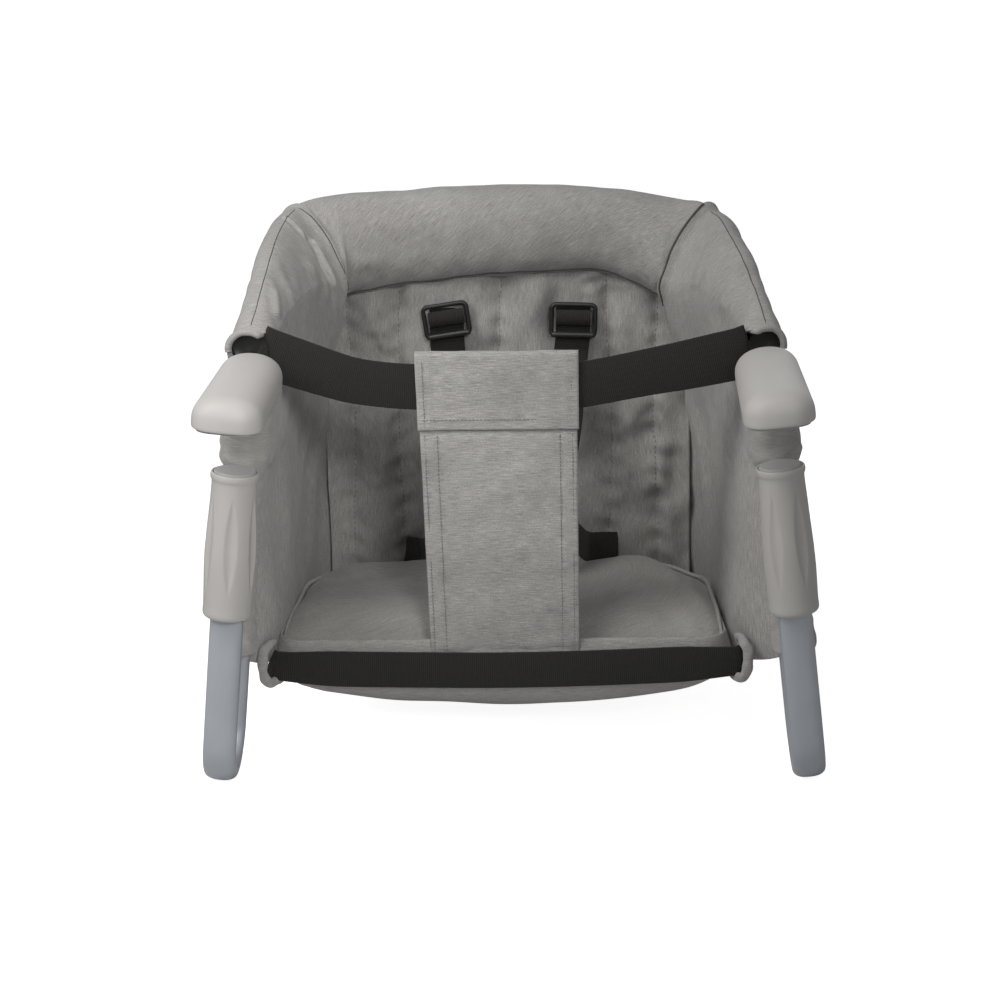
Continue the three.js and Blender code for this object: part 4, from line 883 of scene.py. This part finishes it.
CREST_GIRTH, MITRE_PROUD, CREST_PROUD = 0.4, 0.2, 0.15
# a black sheet of painted shade inside the tunnel, where the cloth lining lies in shadow: its share of the
# rim's section, and how deep inside
TUNNEL_SHADE = ((0.9, 0), (0.86, 4), (0.02, 5))
# thread for the seams, darkened to carry painted shade of their creases and valleys
seam_shade_thread = moulded("seam thread darkened with painted shade", 84, 1, 0.85, 0.1 * MM)


def bead(name, path, girth, finish, sides=8, closed=False):
    """A round cord, thread or rolled hem along a path."""
    path = np.asarray(path, float)
    if closed:
        along = unit(np.roll(path, -1, axis=0) - np.roll(path, 1, axis=0))
    else:
        along = unit(np.gradient(path, axis=0))
    aside = unit(np.cross(along, (0.31, 0.17, 0.94)))
    rise = np.cross(aside, along)
    angles = np.linspace(0, 2 * math.pi, sides, endpoint=False)
    rows = np.array([[p + girth * (a * math.cos(t) + r * math.sin(t)) for t in angles]
                     for p, a, r in zip(path, aside, rise)])
    rows = np.concatenate([rows, rows[:1]]) if closed else rows
    line = skin(name, rows, ring=True, capped=not closed)
    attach(line, "seat")
    return dress(line, finish)


for side, sign in SIDES.items():
    lines, ends, pull = cover_lines(side)
    starts = MOUTH_CUT * np.interp(np.arange(len(ends)) / COLUMN_STEPS, MOUTH_LINES, (0, 1, 1, 0))
    spots = starts + np.linspace(0, 1, COVER_ROWS)[:, None] ** 0.9 * (ends - starts)
    rows = crossing(lines, spots * STEPS)
    normal = facing(rows, ring=True) * -sign
    push = cloth_waves(rows)
    for line, width, depth in COVER_CREASES[side]:
        line = [on_rim(side, *spot) if len(spot) == 2 else spot for spot in line]
        push = push - valley(rows, line, width, depth)
    away = np.linalg.norm(rows - crossing(lines, (ends[None] - OVERLAP) * STEPS), axis=2)
    push -= pull * SEAM_PULL[side] * np.exp(-(away / SEAM_REACH[side]) ** 2)
    push += pull * SWELL * np.exp(-((away - SWELL_FROM_SEAM) / SWELL_WIDTH) ** 2)
    push -= (ends < COVER_END - 0.2) * END_TUCK * ease((spots - ends + OVERLAP) / OVERLAP)
    rows = rows + normal * push[..., None]
    too_far_forward = np.maximum(POST_SWING - rows[:, :, 1], 0)
    rows[:, :, 1] += too_far_forward * ease((SWING_FROM - rows[:, :, 2]) / SWING_OVER)
    cover = rounded(skin(f"{side}_side_cover", rows, ring=True))
    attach(cover, "seat")
    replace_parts(dress(cover, cloth), f"{side}_side_panel")
    # the dark cord on the mitred seam is painted shadow of the seam's crease, thicker on the right
    mitre_line = rows[-5, MITRE] + normal[-5, MITRE] * MITRE_PROUD
    bead(f"{side}_mitre_seam_crease_shade", mitre_line, MITRE_GIRTH[side], seam_shade_thread, 6)
    # the cord along the outer seam is its thread, darkened as painted shade of the seam's valley
    crest_line = rows[4:-8, SEAM_COLUMN] + normal[4:-8, SEAM_COLUMN] * CREST_PROUD
    bead(f"{side}_cover_seam_thread_and_shade", crest_line, CREST_GIRTH, seam_shade_thread, 6)
    middle = RIM[0 if sign < 0 else -1, :3]
    hem = spline(middle + (rows[0, MOUTH] - middle) * 0.93 + (0, 1.2, 0), HEM_POINTS)
    hem[:, 1] += HEM_TUCK * ease(1 - np.arange(HEM_POINTS) / TUCK_POINTS)
    bead(f"{side}_mouth_hem", hem, HEM_RADIUS, hem_cloth, 12)
    # inside each tunnel's mouth a black sheet stands in for the shade there: painted shade, not a part
    stations, outward = (part[STEPS // 3:STEPS // 3 + 1] for part in side_stations(side))
    edge = np.concatenate([rim_line(stations, outward, angle) for angle in range(0, 360, 10)])
    inside = [middle + (edge - middle) * share + (0, depth, 0) for share, depth in TUNNEL_SHADE]
    dark = skin(f"{side}_tunnel_painted_shade", inside, ring=True)
    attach(dark, "seat")
    dress(dark, black_nylon)


# The back roll
# A thick padded roll sewn round the rear run of the tube, its cloth cut on the bias, drawn in
# at the two mitred seams where it meets the side covers.
ROLL_ROWS, ROLL_COLUMNS = 190, 80
ROLL_GATHERS = (
    (((-104, 172, 40), (-110, 174, 56), (-124, 180, 76)), 3.0, 1.2),
    (((98, 172, 38), (104, 174, 56)), 2.6, 1.2),
    (((-60, 190, 100), (-50, 176, 80)), 6, 0.7),
    (((20, 180, 95), (34, 176, 72)), 7, 0.6))
ROLL_SEAM = 242
ROLL_DIP, ROLL_SWELL, ROLL_SWELL_AT, ROLL_SWELL_WIDTH = 0.8, 1.6, 13, 8

stations, outward = side_stations("left")
angles = np.arange(ROLL_COLUMNS) * 360 / ROLL_COLUMNS
lines = np.stack([rim_line(stations, outward, angle) for angle in angles], axis=1)
first = np.array([seam_at(angle) for angle in angles])
spots = first + np.linspace(0, 1, ROLL_ROWS)[:, None] * (len(RIM) - 1 - 2 * first)
roll = crossing(lines, spots * STEPS)
normal = facing_out(roll, roll.mean(axis=1, keepdims=True))
push = cloth_waves(roll)
for end, side in ((0, "left"), (-1, "right")):
    pull = np.array([seam_pull(side, angle) for angle in angles])
    away = np.linalg.norm(roll - roll[end], axis=2)
    push -= pull * (SEAM_PULL[side] + ROLL_DIP) * np.exp(-(away / SEAM_REACH[side]) ** 2)
    push += pull * ROLL_SWELL * np.exp(-((away - ROLL_SWELL_AT) / ROLL_SWELL_WIDTH) ** 2)
    push += pull * np.exp(-away / 13) * 0.7 * np.sin(roll[:, :, 2] / 2.9 + away / 8)
for line, width, depth in ROLL_GATHERS:
    push -= valley(roll, line, width, depth)
roll = roll + normal * push[..., None]
back_roll = rounded(skin("padded_roll", roll, ring=True, capped=True))
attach(back_roll, "seat")
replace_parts(dress(back_roll, cloth_bias), "back_roll")
# the cord under the roll is a real seam, darkened as painted shade where the roll meets the quilted back
bead("roll_seam_and_shade", roll[3:-3, round(ROLL_SEAM / 360 * ROLL_COLUMNS)], 0.8, seam_shade_thread, 6)


# The quilted back
# Thin wadding between two layers of cloth, sewn through along upright lines; its edges lie
# behind the side covers and its head runs up behind the roll.
BACK_CENTRE, BACK_HALF, BACK_FACE, BACK_REAR = -8, 134, 194.5, 204
BACK_TOP, BACK_BOTTOM, BACK_CURL = 60, -204, 8
QUILT_LINES = (-122, -87, -12.5, 67, 101)
QUILT_PUFF, QUILT_WIDTH, QUILT_WANDER, WANDER_WAVE = 4.8, 6, 1.5, 31
PUCKER_DEPTH, PUCKER_REACH, PUCKER_PITCH = 0.9, 8, 2.6
BACK_WAVES = ((1.5, 44, 31, (1.2, 1, 1)), (0.7, 19, 32, (1, 1, 1.6)))
BACK_ROWS, BACK_COLUMNS = 120, 160


def from_quilt_line(x, z, line):
    """How far points lie from an upright line of quilting, which wanders a little."""
    return np.abs(x - line - QUILT_WANDER * np.sin(z / WANDER_WAVE + line))


def back_rows():
    x = BACK_CENTRE + BACK_HALF * np.linspace(-1, 1, BACK_COLUMNS)
    z = np.linspace(BACK_TOP, BACK_BOTTOM, BACK_ROWS)
    x, z = np.meshgrid(x, z)
    bend = BACK_CURL * np.abs((x - BACK_CENTRE) / BACK_HALF) ** 4
    front = np.stack([x, BACK_FACE - bend, z], axis=2)
    near = np.min([from_quilt_line(x, z, line) for line in QUILT_LINES], axis=0)
    puff = QUILT_PUFF * (1 - np.exp(-(near / QUILT_WIDTH) ** 1.3))
    pucker = np.exp(-(near / PUCKER_REACH) ** 2) * PUCKER_DEPTH
    pucker = pucker * np.sin(z / PUCKER_PITCH + 2 * np.sin(x / 9))
    front[:, :, 1] -= puff + pucker + waves(front, BACK_WAVES) - 1.5
    rear = front[:, ::-1].copy()
    rear[:, :, 1] = BACK_REAR - bend[:, ::-1] * 1.3
    rear = rear[:, ::6]
    return np.concatenate([front, rear], axis=1)


BACK_FOLDS = (
    (((84, 190, 36), (52, 191, 30)), 3, 2.2),
    (((96, 188, -80), (78, 190, -140)), 7, 2.4),
    (((114, 186, -100), (124, 182, -172)), 6, 3.2),
    (((-104, 188, -10), (-108, 188, -110)), 4, 2.6),
    (((-124, 184, -130), (-118, 186, -150)), 5, 3.0),
    (((-60, 190, -40), (-52, 190, -120)), 7, 2.2),
    (((30, 190, 20), (34, 190, -120)), 6, 1.8),
    (((60, 190, -60), (90, 189, -66)), 6, 1.2),
    (((-100, 189, -20), (-80, 190, -34)), 4, 1.8),
)
quilt = back_rows()
face = quilt[:, :BACK_COLUMNS]
face[:, :, 1] += sum(valley(face, *fold) for fold in BACK_FOLDS)
quilted_back = rounded(skin("quilted_back", quilt, ring=True, capped=True))
for k, line in enumerate(QUILT_LINES):
    near = from_quilt_line(face[:, :, 0], face[:, :, 2], line)
    path = face[np.arange(BACK_ROWS), np.argmin(near, axis=1)][8:-14] + (0, -0.1, 0)
    stitches(f"quilt_stitch_{k}", path, (0, -1, 0), pitch=4.2, length=2.6, girth=0.4)
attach(quilted_back, "seat")
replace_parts(dress(quilted_back, cloth_turned), "back_panel")


# The seat: cushion, welt and bowl
# A boxed cushion with a soft crown lies on a stiff board in a fabric bowl; a thin welt of the
# same cloth runs round the cushion's upper edge.
SEAT_CENTRE, SEAT_HALF, SEAT_FRONT, SEAT_REAR = -9, 152, 33, 192
SEAT_REAR_CORNER, SEAT_FRONT_CORNER, SEAT_TAPER, LEAST_CORNER = 66, 16, 5, 3
SEAT_MIDDLE_Y = 112


def seat_outline(outset=0.0, count=176):
    """The cushion's edge from above, as a closed outline that starts in front."""
    half, front, rear = SEAT_HALF + outset, SEAT_FRONT - outset, SEAT_REAR + outset
    tight, wide = (max(corner + outset, LEAST_CORNER) for corner in (SEAT_FRONT_CORNER, SEAT_REAR_CORNER))
    points = arc((half - tight, front + tight), tight, -90, 0)
    points += arc((half - SEAT_TAPER - wide, rear - wide), wide, 0, 90)
    points += [(-x, y) for x, y in reversed(points)]
    return even([(x + SEAT_CENTRE, y) for x, y in points], count, closed=True)


def seat_rings(profile):
    """Outlines of the seat, each with its outset, its share of the full size and its height."""
    middle = np.array((SEAT_CENTRE, SEAT_MIDDLE_Y))
    rows = []
    for outset, share, level in profile:
        outline = middle + (seat_outline(outset) - middle) * share
        rows.append(np.column_stack([outline, np.full(len(outline), level)]))
    return np.array(rows)


CUSHION = [(-8, 0.4, -205.6), (-4, 1, -205.6), (-1, 1, -203), (0, 1, -196), (0.5, 1, -188), (-0.5, 1, -182.5)]
CUSHION += [(-3 - 26 * s, 1, -181 + 9.5 * math.sin(s * math.pi / 2) ** 0.8) for s in np.linspace(0.04, 1, 9)]
CUSHION += [(-29, s, -171.5 + 2.6 * (1 - s)) for s in np.linspace(0.94, 0.02, 16)]
FRONT_FALL, FALL_FROM, FALL_OVER = 17, 84, 52
CUSHION_WAVES = ((1.2, 55, 41), (0.5, 15, 42, (1, 2.2, 1)))
HOLLOW_DEPTH, HOLLOW_WIDTH, HOLLOW_FROM, HOLLOW_OVER = -2.5, 34, 60, 60
GATHER_DEPTH, GATHER_PITCH, GATHER_FROM, GATHER_OVER = 0.4, 2.6, 62, 26
cushion = seat_rings(CUSHION)
top_share = ease((cushion[:, :, 2] + 190) / 8)


def seat_fall(y):
    """How far the cushion's top has sunk towards its front edge."""
    return FRONT_FALL * np.clip((FALL_FROM - y) / FALL_OVER, 0, 1) ** 2


x, y = cushion[:, :, 0], cushion[:, :, 1]
rise = waves(cushion, CUSHION_WAVES)
hollow = HOLLOW_DEPTH * np.exp(-((x - SEAT_CENTRE) / HOLLOW_WIDTH) ** 2)
rise += hollow * ease((y - HOLLOW_FROM) / HOLLOW_OVER)
rise += GATHER_DEPTH * np.sin(x / GATHER_PITCH) * ease((GATHER_FROM - y) / GATHER_OVER)
cushion[:, :, 2] += (rise - seat_fall(cushion[:, :, 1])) * top_share
seat_cushion = rounded(skin("seat_cushion", cushion, ring=True, capped=True))
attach(seat_cushion, "seat")
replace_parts(dress(seat_cushion, cloth_turned), "seat_pad")

WELT_RADIUS, WELT_LEVEL, WELT_FALL = 1.5, -181.5, 1.1
welt_line = np.column_stack([seat_outline(-0.4, 220), np.full(220, WELT_LEVEL)])
welt_line[:, 2] += 0.5 * ripple(welt_line, 40, 44) - seat_fall(welt_line[:, 1]) * WELT_FALL
bead("cushion_welt", welt_line, WELT_RADIUS, cloth, 10, closed=True)

BOWL = [(0.9, 1, -185), (2.4, 1, -190), (5.0, 1, -196), (5.0, 1, -203), (3, 1, -210), (1, 1, -220),
        (-4, 1, -229), (-13, 1, -236)]
BOWL += [(-26, s, -242 - 5 * (1 - s)) for s in (1, 0.85, 0.6, 0.3, 0.002)]
bowl = seat_rings(BOWL)
BOWL_LIFT, BOWL_SAG, BOWL_THICK = 15, 2.4, 1.6
deep = np.clip((bowl[:, :, 2] + 205) / -30, 0, 1)
across_share = np.abs((bowl[:, :, 0] - SEAT_CENTRE) / SEAT_HALF)
bowl[:, :, 2] += deep * BOWL_LIFT * across_share ** BOWL_SAG
normal = facing_out(bowl, np.array((SEAT_CENTRE, SEAT_MIDDLE_Y, -150)))
bowl = bowl + normal * (0.8 * ripple(bowl, 40, 51, (2, 1, 1)) * ease(deep * 3))[..., None]
seat_bowl = welded(skin("seat_bowl", bowl, ring=True))
body = seat_bowl.modifiers.new("thickness", "SOLIDIFY")
body.thickness, body.offset = BOWL_THICK * MM, -1
rounded(seat_bowl)
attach(seat_bowl, "seat")
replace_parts(dress(seat_bowl, cloth), "seat_sling")


# The post channels
# A cloth channel round each post and its hinge, loose enough to crumple, with a doubled hem
# at the foot; the arm turns inside it.
CHANNEL_ROWS, CHANNEL_COLUMNS = 90, 72
CHANNEL_TOP, CHANNEL_FOOT, CHANNEL_RADIUS, CHANNEL_WING = -3.5, -182, 12.6, 36
HEM_LEVEL, HEM_PROUD = -173, 0.7


def channel_rows():
    rows = []
    for level in np.linspace(CHANNEL_TOP, CHANNEL_FOOT, CHANNEL_ROWS):
        far = CHANNEL_WING * float(1 - ease((-level - 66) / 18))
        radius = CHANNEL_RADIUS + 1.2 * float(ease((-level - 150) / 30))
        radius += 4.2 * float(1 - ease((-level - 46) / 10))
        front = arc((0, 0), radius, 180, 360, 18)
        rear = arc((0, max(far, 0.1)), radius, 0, 180, 18)
        rows.append([(x, y, level) for x, y in even(front + rear, CHANNEL_COLUMNS, closed=True)])
    return np.array(rows)


for side, sign in SIDES.items():
    rows = channel_rows()
    normal = facing_out(rows, rows.mean(axis=1, keepdims=True))
    neck = ease((rows[:, :, 2] + 52) / 20)
    loose = waves(rows, ((0.6 - 0.3 * neck, 13, 61 + sign, (1, 1, 0.6)), (0.4, 40, 63 + sign)))
    hem = ease((HEM_LEVEL - rows[:, :, 2]) / 2.0) * HEM_PROUD
    rows = rows + normal * np.maximum(loose * 0.9 + 0.5 + hem, -0.2)[..., None]
    for k, share in enumerate((0.97, 0.93)):
        rows = np.concatenate([rows, rows[-1 - k:][:1] * (share, share, 1) + (0, 0, 1.5 * k)])
    channel = rounded(skin(f"{side}_post_channel", arm_place(rows, side), ring=True))
    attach(channel, "seat")
    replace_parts(dress(channel, hem_cloth), f"{side}_post_sleeve")


# The front webbing
# A wide black strap hangs from tube to tube and carries the leg panel; a second one runs
# across the front of the seat between two cloth loops.
FRONT_LINE = (
    (-166, 28.5, 21), (-156, 26.6, 16.8), (-138, 26.2, 10.4), (-122, 26, 4.9), (-105, 26, -0.4),
    (-84, 26, -3.8), (-62, 26, -5.6), (-36, 26, -6.6), (-10, 26, -6.9), (18, 26, -6.6), (45, 26, -5.6),
    (73, 26, -0.9), (95, 26, 3.2), (113, 26, 6.4), (135, 26.2, 10.8), (150, 26.6, 14), (160, 28.5, 17))
LOWER_LINE = (
    (-169, 27, -199), (-160, 25, -202), (-120, 24.5, -204), (-60, 24, -205), (-8, 24, -205.5),
    (50, 24, -204.5), (110, 24.5, -202.5), (148, 25, -200.5), (157, 27, -198.5))
# its line, the middle and half of its length, its width there and how much it gains from which share
# of the half to its ends, the way its width points, its thickness and the node it stands for
WEBS = {
    "front_webbing": (FRONT_LINE, -8, 160, 31, 3.5, 0.5, (0, 0, 1), 1.7, "front_strap"),
    "lower_webbing": (LOWER_LINE, -6, 162, 26.5, -5, 0.7, (0, -0.1, 1), 1.8, "lower_strap"),
}
for name, (line, middle, half, width, gain, start, up, thick, node) in WEBS.items():
    path = spline(line, 150)
    reach = np.abs(path[:, 0] - middle) / half
    web = strip(name, path, up, width + gain * ease((reach - start) / (1 - start)), thick, webbing)
    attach(web, "seat")
    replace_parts(web, node)

LOOPS = {
    "left": ((-166, 34, -188), (-168.5, 27, -187), (-172, 22, -190.5), (-173.5, 21, -198), (-173, 21, -206),
             (-169.5, 22, -212.5), (-165, 27, -213.3), (-162, 33, -212)),
    "right": ((153, 34, -186.5), (155, 27, -185.5), (158.2, 22, -189), (159.5, 21, -197), (159, 21, -205),
              (156, 22, -211.5), (152, 27, -212.3), (149, 33, -211)),
}
LOOP_WIDE, LOOP_THICK = 3.6, 2.2
for side, sign in SIDES.items():
    middle = spline(LOOPS[side], 44)
    along = unit(np.gradient(middle, axis=0))
    flat = unit(np.cross(along, (0.0, 1.0, 0.0)))
    over = np.cross(flat, along)
    angles = np.linspace(0, 2 * math.pi, 28, endpoint=False)
    rows = np.array([[p + f * math.cos(a) * LOOP_WIDE + o * math.sin(a) * LOOP_THICK for a in angles]
                     for p, f, o in zip(middle, flat, over)])
    rows = rows + facing(rows, ring=True) * (0.3 * ripple(rows, 9, 71 + sign))[..., None]
    loop = rounded(skin(f"{side}_cloth_loop", rows, ring=True, capped=True))
    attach(loop, "seat")
    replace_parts(dress(loop, hem_cloth), f"{side}_strap_loop")


# The leg panel
# A doubled panel of the paler cloth, folded over the front strap, stitched below it, hemmed
# down both sides and sewn in at the seat.
PANEL_TOP, PANEL_FLAP, PANEL_FOOT = 16.5, -35, -199
PANEL_LEFT, PANEL_RIGHT = (-61.5, -57), (45, 44.5)
HEM_RISE, HEM_SHARE, HEM_STEP, PANEL_THICK = 0.5, 0.8, 0.03, 1.5
PANEL_WAVES = ((0.5, 45, 81), (0.25, 14, 82, (2, 1, 1)))
BODY_FORWARD, FOOT_BACK, FOOT_FROM, FOOT_OVER, LAYERS_PART = 3.4, 4, -150, 45, 31
FLAP_FRONT, FLAP_WIDER, PANEL_BEHIND = 24.2, 1.2, 28.4
FOLD_MIDDLE, FOLD_DEPTH, FOLD_HIGH, FOLD_LEVEL = 26.6, 2.4, 2.6, PANEL_TOP - 1.5


def panel_x(z, across, wider=0.0):
    """Where a share of the way across the panel lies at a height; its edges taper towards its foot."""
    down = (PANEL_TOP - z) / (PANEL_TOP - PANEL_FOOT)
    left_edge = PANEL_LEFT[0] + (PANEL_LEFT[1] - PANEL_LEFT[0]) * down - wider
    right_edge = PANEL_RIGHT[0] + (PANEL_RIGHT[1] - PANEL_RIGHT[0]) * down + wider
    return left_edge * (1 - across) + right_edge * across


def panel_rows(front, top, foot, count, wider=0.0):
    z, across = np.meshgrid(np.linspace(top, foot, count), np.linspace(0, 1, 60), indexing="ij")
    return np.stack([panel_x(z, across, wider), np.full_like(z, front), z], axis=2)


flap = panel_rows(FLAP_FRONT, FOLD_LEVEL, PANEL_FLAP, 40, FLAP_WIDER)
fold = []
for angle in np.radians(np.linspace(10, 170, 9)):
    line = flap[0].copy()
    line[:, 1] = FOLD_MIDDLE - FOLD_DEPTH * math.cos(angle)
    line[:, 2] = FOLD_LEVEL + FOLD_HIGH * math.sin(angle)
    fold.append(line)
behind = panel_rows(PANEL_BEHIND, PANEL_TOP - 4, PANEL_FOOT, 90)
sheet_rows = np.concatenate([flap[::-1], np.array(fold), behind])
slack = waves(sheet_rows, PANEL_WAVES)
below = ease((PANEL_FLAP + 4 - sheet_rows[:, :, 2]) / 10) * ease((sheet_rows[:, :, 1] - 27) / 1)
sheet_rows[:, :, 1] += slack - BODY_FORWARD * below
sheet_rows[:, :, 1] += FOOT_BACK * ease((FOOT_FROM - sheet_rows[:, :, 2]) / FOOT_OVER) * below
side_share = np.abs(np.linspace(-1, 1, sheet_rows.shape[1]))
in_front = sheet_rows[:, :, 1] < LAYERS_PART
sheet_rows[:, :, 1] -= HEM_RISE * ease((side_share - HEM_SHARE) / HEM_STEP) * in_front
panel = skin("folded_leg_panel", sheet_rows)
body = panel.modifiers.new("two layers", "SOLIDIFY")
body.thickness, body.offset = PANEL_THICK * MM, 0
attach(panel, "seat")
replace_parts(dress(panel, panel_cloth), "leg_panel")
FLAP_RUN = (12, PANEL_FLAP + 2, 22.9)
BODY_RUN = (PANEL_FLAP - 3, PANEL_FOOT + 6, 23.6)
RUNS = {
    "flap_left": (0.035, *FLAP_RUN), "flap_right": (0.965, *FLAP_RUN),
    "left_outer": (0.03, *BODY_RUN), "left_inner": (0.11, *BODY_RUN),
    "right_outer": (0.97, *BODY_RUN), "right_inner": (0.89, *BODY_RUN),
}
PANEL_SEWING = {"pitch": 2.6, "length": 1.9, "girth": 0.3}
for name, (across, top, foot, front) in RUNS.items():
    z = np.linspace(top, foot, 60)
    line = np.stack([panel_x(z, across), np.full_like(z, front), z], axis=1)
    stitches(f"panel_stitch_{name}", line, (0, -1, 0), **PANEL_SEWING)
x = np.linspace(PANEL_LEFT[0] + 2, PANEL_RIGHT[0] - 2, 60)
line = np.stack([x, np.full_like(x, FLAP_RUN[2]), np.full_like(x, PANEL_FLAP + 7)], axis=1)
stitches("panel_stitch_hem", line, (0, -1, 0), **PANEL_SEWING)


# The harness
# Black webbing: two shoulder straps through ladder locks, two waist straps and a crotch strap
# that meet in a side-release buckle behind the leg panel.
SHOULDER = {
    "left": ((-50.5, 190.0, 14), (-50.5, 189.5, 6), (-50.5, 188, -3), (-50.3, 186.6, -12), (-49.5, 185, -24),
             (-47, 160, -70), (-43.5, 134, -108), (-42, 121, -122)),
    "right": ((41.5, 190.0, 14), (41.5, 189.5, 6), (41.2, 188, -3), (40.5, 186.6, -12), (39, 185, -24),
              (34, 160, -70), (26.5, 134, -108), (24, 121, -122)),
}
WAIST = {
    "left": ((-86, 190.5, -171), (-78, 187, -171), (-70, 178, -168), (-60, 150, -150), (-50, 126, -132),
             (-42, 119.5, -126)),
    "right": ((72.5, 190.5, -169), (62, 188, -168), (50, 182, -166), (42, 160, -152), (32, 130, -134),
              (24, 119.5, -126)),
}
HARNESS_POINTS, SHOULDER_WIDTH, WAIST_WIDTH, HARNESS_THICK = 70, 25, 22, 1.5
# the ladder locks' middles and tilts; each has a frame of round bars, a barrel with the webbing
# round it and a thinner bar in front of its foot
LOCKS = {"left": ((-50.5, 185.2, 5.5), 8), "right": ((41.5, 185.2, 4.5), -2)}
LOCK_HALF, LOCK_HIGH, LOCK_CORNER = 15.8, 11.6, 3.5
FRAME_GIRTH, BAR_GIRTH, BARREL_GIRTH = 1.7, 2.0, 5.6
LOCK_BAR = np.array((LOCK_HALF, -1.6, -LOCK_HIGH + 1.2))
LOCK_BARREL = np.array((12.6, 2.0, 1.6))
lock_sheen = moulded("glossier black nylon", 50, 0.5, 0.3, 0.02 * MM)


def lock_outline():
    points = []
    for x, z, start in ((1, 1, 90), (1, -1, 0), (-1, -1, -90), (-1, 1, -180)):
        corner = (x * (LOCK_HALF - LOCK_CORNER), z * (LOCK_HIGH - LOCK_CORNER))
        points += arc(corner, LOCK_CORNER, start, start - 90, 6)
    return np.array([(x, 0, z) for x, z in points])


STRAPS = (("harness_webbing", "shoulder_strap", SHOULDER, (1, 0, 0), SHOULDER_WIDTH),
          ("waist_webbing", "waist_strap", WAIST, (0, 0.3, 1), WAIST_WIDTH))
LOCK_PARTS = (
    ("lock_frame", lock_outline(), FRAME_GIRTH, black_nylon, "black_plastic"),
    ("lock_bar", np.linspace(LOCK_BAR * (-1, 1, 1), LOCK_BAR, 12), BAR_GIRTH, lock_sheen, "black_plastic"),
    ("lock_barrel", np.linspace(LOCK_BARREL * (-1, 1, 1), LOCK_BARREL, 30), BARREL_GIRTH, webbing, "webbing"))
for side in SIDES:
    for name, node, line, up, width in STRAPS:
        web = strip(f"{side}_{name}", spline(line[side], HARNESS_POINTS), up, width, HARNESS_THICK, webbing)
        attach(web, "seat")
        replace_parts(web, f"{side}_{node}")
    spot, tilt = LOCKS[side]
    turned = np.array(Matrix.Rotation(math.radians(-tilt), 3, "Y"))
    for part, line, girth, finish, slot in LOCK_PARTS:
        made = bead(f"{side}_{part}", line @ turned.T + spot, girth, finish, 20, closed=part == "lock_frame")
        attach(made, f"{side}_adjuster")
        if part == "lock_frame":
            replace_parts(made, f"{side}_strap_adjuster")
    keep(f"{side}_buckle_tongue", black_nylon)
keep("crotch_strap", webbing, 0)
keep("buckle_body", black_nylon)
keep("buckle_button", moulded("grey button", 150, 0, 0.45))
